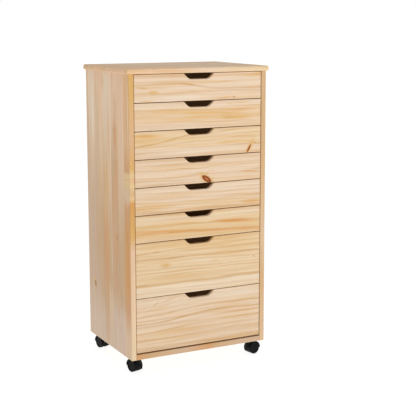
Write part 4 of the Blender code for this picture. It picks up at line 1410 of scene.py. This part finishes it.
class CartWheels(bpy.types.Operator):
    """Make the casters' wheels, with a crowned tread and a dished face"""

    bl_idname = "cart.wheels"
    bl_label = "Caster wheels"

    def execute(self, context):
        settings = context.scene.cart_casters
        finish = nylon_material("nylon_moulded_wheel", roughness=0.42)
        for name in CASTERS:
            swivel, trail, radius = caster_frame(name)
            ahead = trail.normalized()
            centre = swivel + trail + Vector((0, 0, radius))
            profile = self.wheel_profile(radius, settings.dish)
            for side, way in (("left", 1), ("right", -1)):
                axle = Vector((-ahead.y, ahead.x, 0)) * way
                solid = bmesh.new()
                turned_solid(solid, profile, settings.steps, centre, axle)
                wheel = f"{name}_wheel_{side}"
                finish_piece(f"{name}_roller_{side}", solid, [finish], wheel, "black_nylon", wheel)
        return {"FINISHED"}

    def wheel_profile(self, radius, dish):
        """A wheel's outline from the axle: a low cap, the dished ring, the rim, the tread and the bore."""
        inner, outer = WHEEL_INNER_FACE, WHEEL_OUTER_FACE
        face = [
            (0, outer - 0.2 * MM),
            (2.6 * MM, outer - 0.25 * MM),
            (3.6 * MM, outer - 0.6 * MM),
            (4.2 * MM, outer - dish),
            (9 * MM, outer - dish - 0.2 * MM),
            (radius * 0.7, outer - dish),
            (radius * 0.735, outer - dish / 2),
            (radius * 0.755, outer - 0.1 * MM),
            (radius * 0.77, outer),
        ]
        rim = arc((radius - TREAD_RADIUS, outer - TREAD_RADIUS), TREAD_RADIUS, math.pi / 2, 0, 6)
        tread = [(radius, (inner + outer) / 2), (radius - TREAD_CROWN, inner + 1.4 * MM)]
        corner = (radius - TREAD_CROWN - WHEEL_INNER_RADIUS, inner + WHEEL_INNER_RADIUS)
        back = arc(corner, WHEEL_INNER_RADIUS, 0, -math.pi / 2, 4)
        bore = [(WHEEL_BORE, inner), (WHEEL_BORE, outer - WHEEL_FACE_WALL), (0, outer - WHEEL_FACE_WALL)]
        return face + rim + tread + back + bore


class CartFittings(bpy.types.Operator):
    """Plate the casters' steel parts, and put four cross-head screws in each plate"""

    bl_idname = "cart.fittings"
    bl_label = "Plates, pins and screws"

    def execute(self, context):
        zinc = zinc_material("steel_zinc_plated")
        radius = context.scene.cart_casters.screw_head / 2
        corners = [(u, v) for u in (-SCREW_OFFSET, SCREW_OFFSET) for v in (-SCREW_OFFSET, SCREW_OFFSET)]
        head = [(share * radius, height * MM) for share, height in HEAD_PROFILE]
        profile = [*head, (SHANK_RADIUS, 0), (SHANK_RADIUS, SHANK_LENGTH), (0, SHANK_LENGTH)]
        for name in CASTERS:
            dress([f"{name}_pin", f"{name}_axle"], zinc)
            eased_copy(f"{name}_mount", f"{name}_plate", zinc, "root", "zinc_plated_steel", PLATE_EASE,
                       segments=2)
            swivel = caster_frame(name)[0]
            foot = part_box(f"{name}_plate")[1].z - PLATE_THICKNESS
            for number, (u, v) in enumerate(corners, 1):
                solid = bmesh.new()
                turned_solid(solid, profile, SCREW_STEPS, Vector((0, 0, 0)), Vector((0, 0, 1)))
                turn = math.radians(FIRST_SCREW_TURN + SCREW_TURN_STEP * number)
                screw = with_recess(solid, radius, turn)
                bmesh.ops.translate(screw, verts=screw.verts, vec=(swivel.x + u, swivel.y + v, foot))
                finish_piece(f"{name}_screw_{number}", screw, [zinc], "root", "zinc_plated_steel")
        return {"FINISHED"}


def with_recess(solid, radius, turn):
    """A screw with the cross recess cut into its head, at the turn at which the screw stopped."""
    bmesh.ops.recalc_face_normals(solid, faces=solid.faces)
    screw = scene_object("screw", solid)
    helpers = [screw]
    for arm in (0, math.pi / 2):
        bar = bmesh.new()
        size = Matrix.Diagonal((radius * RECESS_REACH, RECESS_WIDTH, RECESS_DEPTH, 1))
        top = Matrix.Translation((0, 0, HEAD_PROFILE[0][1] * MM))
        bmesh.ops.create_cube(bar, size=1, matrix=top @ Matrix.Rotation(turn + arm, 4, "Z") @ size)
        cutter = scene_object("cutter", bar)
        helpers.append(cutter)
        cut = screw.modifiers.new("cross", "BOOLEAN")
        cut.operation = "DIFFERENCE"
        cut.object = cutter
    bpy.context.view_layer.update()
    shaped = bmesh.new()
    shaped.from_object(screw, bpy.context.evaluated_depsgraph_get())
    for helper in helpers:
        used = helper.data
        bpy.data.objects.remove(helper)
        bpy.data.meshes.remove(used)
    return shaped


# Studio: each light's name, place, target, size and the setting that holds its power; and the floor's reach
LIGHTS = (
    ("key_light", (1.5, -3.4, 1.5), (0, -0.1, 0.55), 2.6, "key_power"),
    ("side_light", (-3.4, -1.0, 2.2), (0, 0, 0.6), 2.4, "side_power"),
    ("top_light", (-0.4, 0.3, 3.6), (0, 0, 1), 2.4, "top_power"),
)
FLOOR_REACH = 40


class CartStage(bpy.types.Operator):
    """Set up the floor, the white surround, the lights and the camera"""

    bl_idname = "cart.stage"
    bl_label = "Studio"

    def execute(self, context):
        settings = context.scene.cart_stage
        scene = context.scene
        scene.view_settings.view_transform = "Standard"
        self.make_floor(settings)
        self.make_world(scene, settings)
        for name, place, target, size, power in LIGHTS:
            self.make_light(name, place, target, size, getattr(settings, power))
        camera = bpy.data.cameras.new("camera")
        camera.lens = settings.lens
        camera.sensor_width = 36
        camera.shift_y = settings.camera_shift
        holder = bpy.data.objects.new("camera", camera)
        holder.location = settings.camera_place
        holder.rotation_euler = (math.pi / 2 - settings.camera_dip, 0, -settings.camera_turn)
        scene.collection.objects.link(holder)
        scene.camera = holder
        return {"FINISHED"}

    def make_floor(self, settings):
        """Seamless studio paper, rolled out: even, matt and almost white, with its own even light."""
        made, tree, shader = new_material("paper_matt_floor")
        spot = add(tree, "ShaderNodeTexCoord").outputs["Object"]
        away = add(tree, "ShaderNodeVectorMath", {0: spot}, operation="LENGTH").outputs["Value"]
        glow = add(tree, "ShaderNodeMapRange", {VALUE: away, LOW: 0.6, HIGH: 4, TO_LOW: 0.9, TO_HIGH: 0.95})
        wire_shader(tree, shader, {"Emission Strength": glow})
        shader.inputs["Base Color"].default_value = (*settings.floor, 1)
        shader.inputs["Roughness"].default_value = 0.9
        shader.inputs["Specular IOR Level"].default_value = 0.1
        shader.inputs["Emission Color"].default_value = (1, 1, 1, 1)
        solid = bmesh.new()
        corners = [(-1, -1), (1, -1), (1, 1), (-1, 1)]
        solid.faces.new([solid.verts.new((FLOOR_REACH * x, FLOOR_REACH * y, 0)) for x, y in corners])
        floor = scene_object("floor", solid)
        floor.data.materials.append(made)

    def make_world(self, scene, settings):
        """White where the camera sees it, and dimmer as a light, so that the wood keeps its shading."""
        scene.world = bpy.data.worlds.new("studio")
        scene.world.use_nodes = True
        tree = scene.world.node_tree
        seen = add(tree, "ShaderNodeLightPath").outputs["Is Camera Ray"]
        strength = add(tree, "ShaderNodeMapRange", {VALUE: seen, TO_LOW: settings.surround, TO_HIGH: 1})
        background = tree.nodes["Background"]
        background.inputs["Color"].default_value = (1, 1, 1, 1)
        wire_shader(tree, background, {"Strength": strength})

    def make_light(self, name, place, target, size, power):
        light = bpy.data.lights.new(name, "AREA")
        light.shape = "DISK"
        light.size = size
        light.energy = power
        holder = bpy.data.objects.new(name, light)
        holder.location = place
        away = Vector(place) - Vector(target)
        holder.rotation_euler = away.to_track_quat("Z", "Y").to_euler()
        bpy.context.scene.collection.objects.link(holder)


OPERATORS = (
    CartTopBoard,
    CartSideBoards,
    CartFloorBoard,
    CartInnerCarcass,
    CartDrawerFronts,
    CartDrawerTrays,
    CartHoods,
    CartWheels,
    CartFittings,
    CartStage,
)
SETTINGS = {
    "cart_pine": CartPineSettings,
    "cart_edges": CartEdgeSettings,
    "cart_casters": CartCasterSettings,
    "cart_stage": CartStageSettings,
}


class CartPanel(bpy.types.Panel):
    """The cart's pieces and settings in the sidebar"""

    bl_idname = "VIEW3D_PT_cart"
    bl_label = "Rolling storage cart"
    bl_space_type = "VIEW_3D"
    bl_region_type = "UI"
    bl_category = "Cart"

    def draw(self, context):
        for operator in OPERATORS:
            self.layout.operator(operator.bl_idname)
        for name, group in SETTINGS.items():
            box = self.layout.box()
            box.label(text=group.__doc__)
            for entry in group.__annotations__:
                box.prop(getattr(context.scene, name), entry)


def register():
    for group in (*SETTINGS.values(), *OPERATORS, CartPanel):
        bpy.utils.register_class(group)
    for name, group in SETTINGS.items():
        setattr(bpy.types.Scene, name, PointerProperty(type=group))


def unregister():
    for name in SETTINGS:
        delattr(bpy.types.Scene, name)
    for group in reversed((*SETTINGS.values(), *OPERATORS, CartPanel)):
        bpy.utils.unregister_class(group)


def main():
    """Makes every piece and the studio."""
    register()
    bpy.ops.cart.top_board()
    bpy.ops.cart.side_boards()
    bpy.ops.cart.floor_board()
    bpy.ops.cart.inner_carcass()
    bpy.ops.cart.drawer_fronts()
    bpy.ops.cart.drawer_trays()
    bpy.ops.cart.hoods()
    bpy.ops.cart.wheels()
    bpy.ops.cart.fittings()
    bpy.ops.cart.stage()
    bpy.context.view_layer.update()


if __name__ == "__main__":
    main()
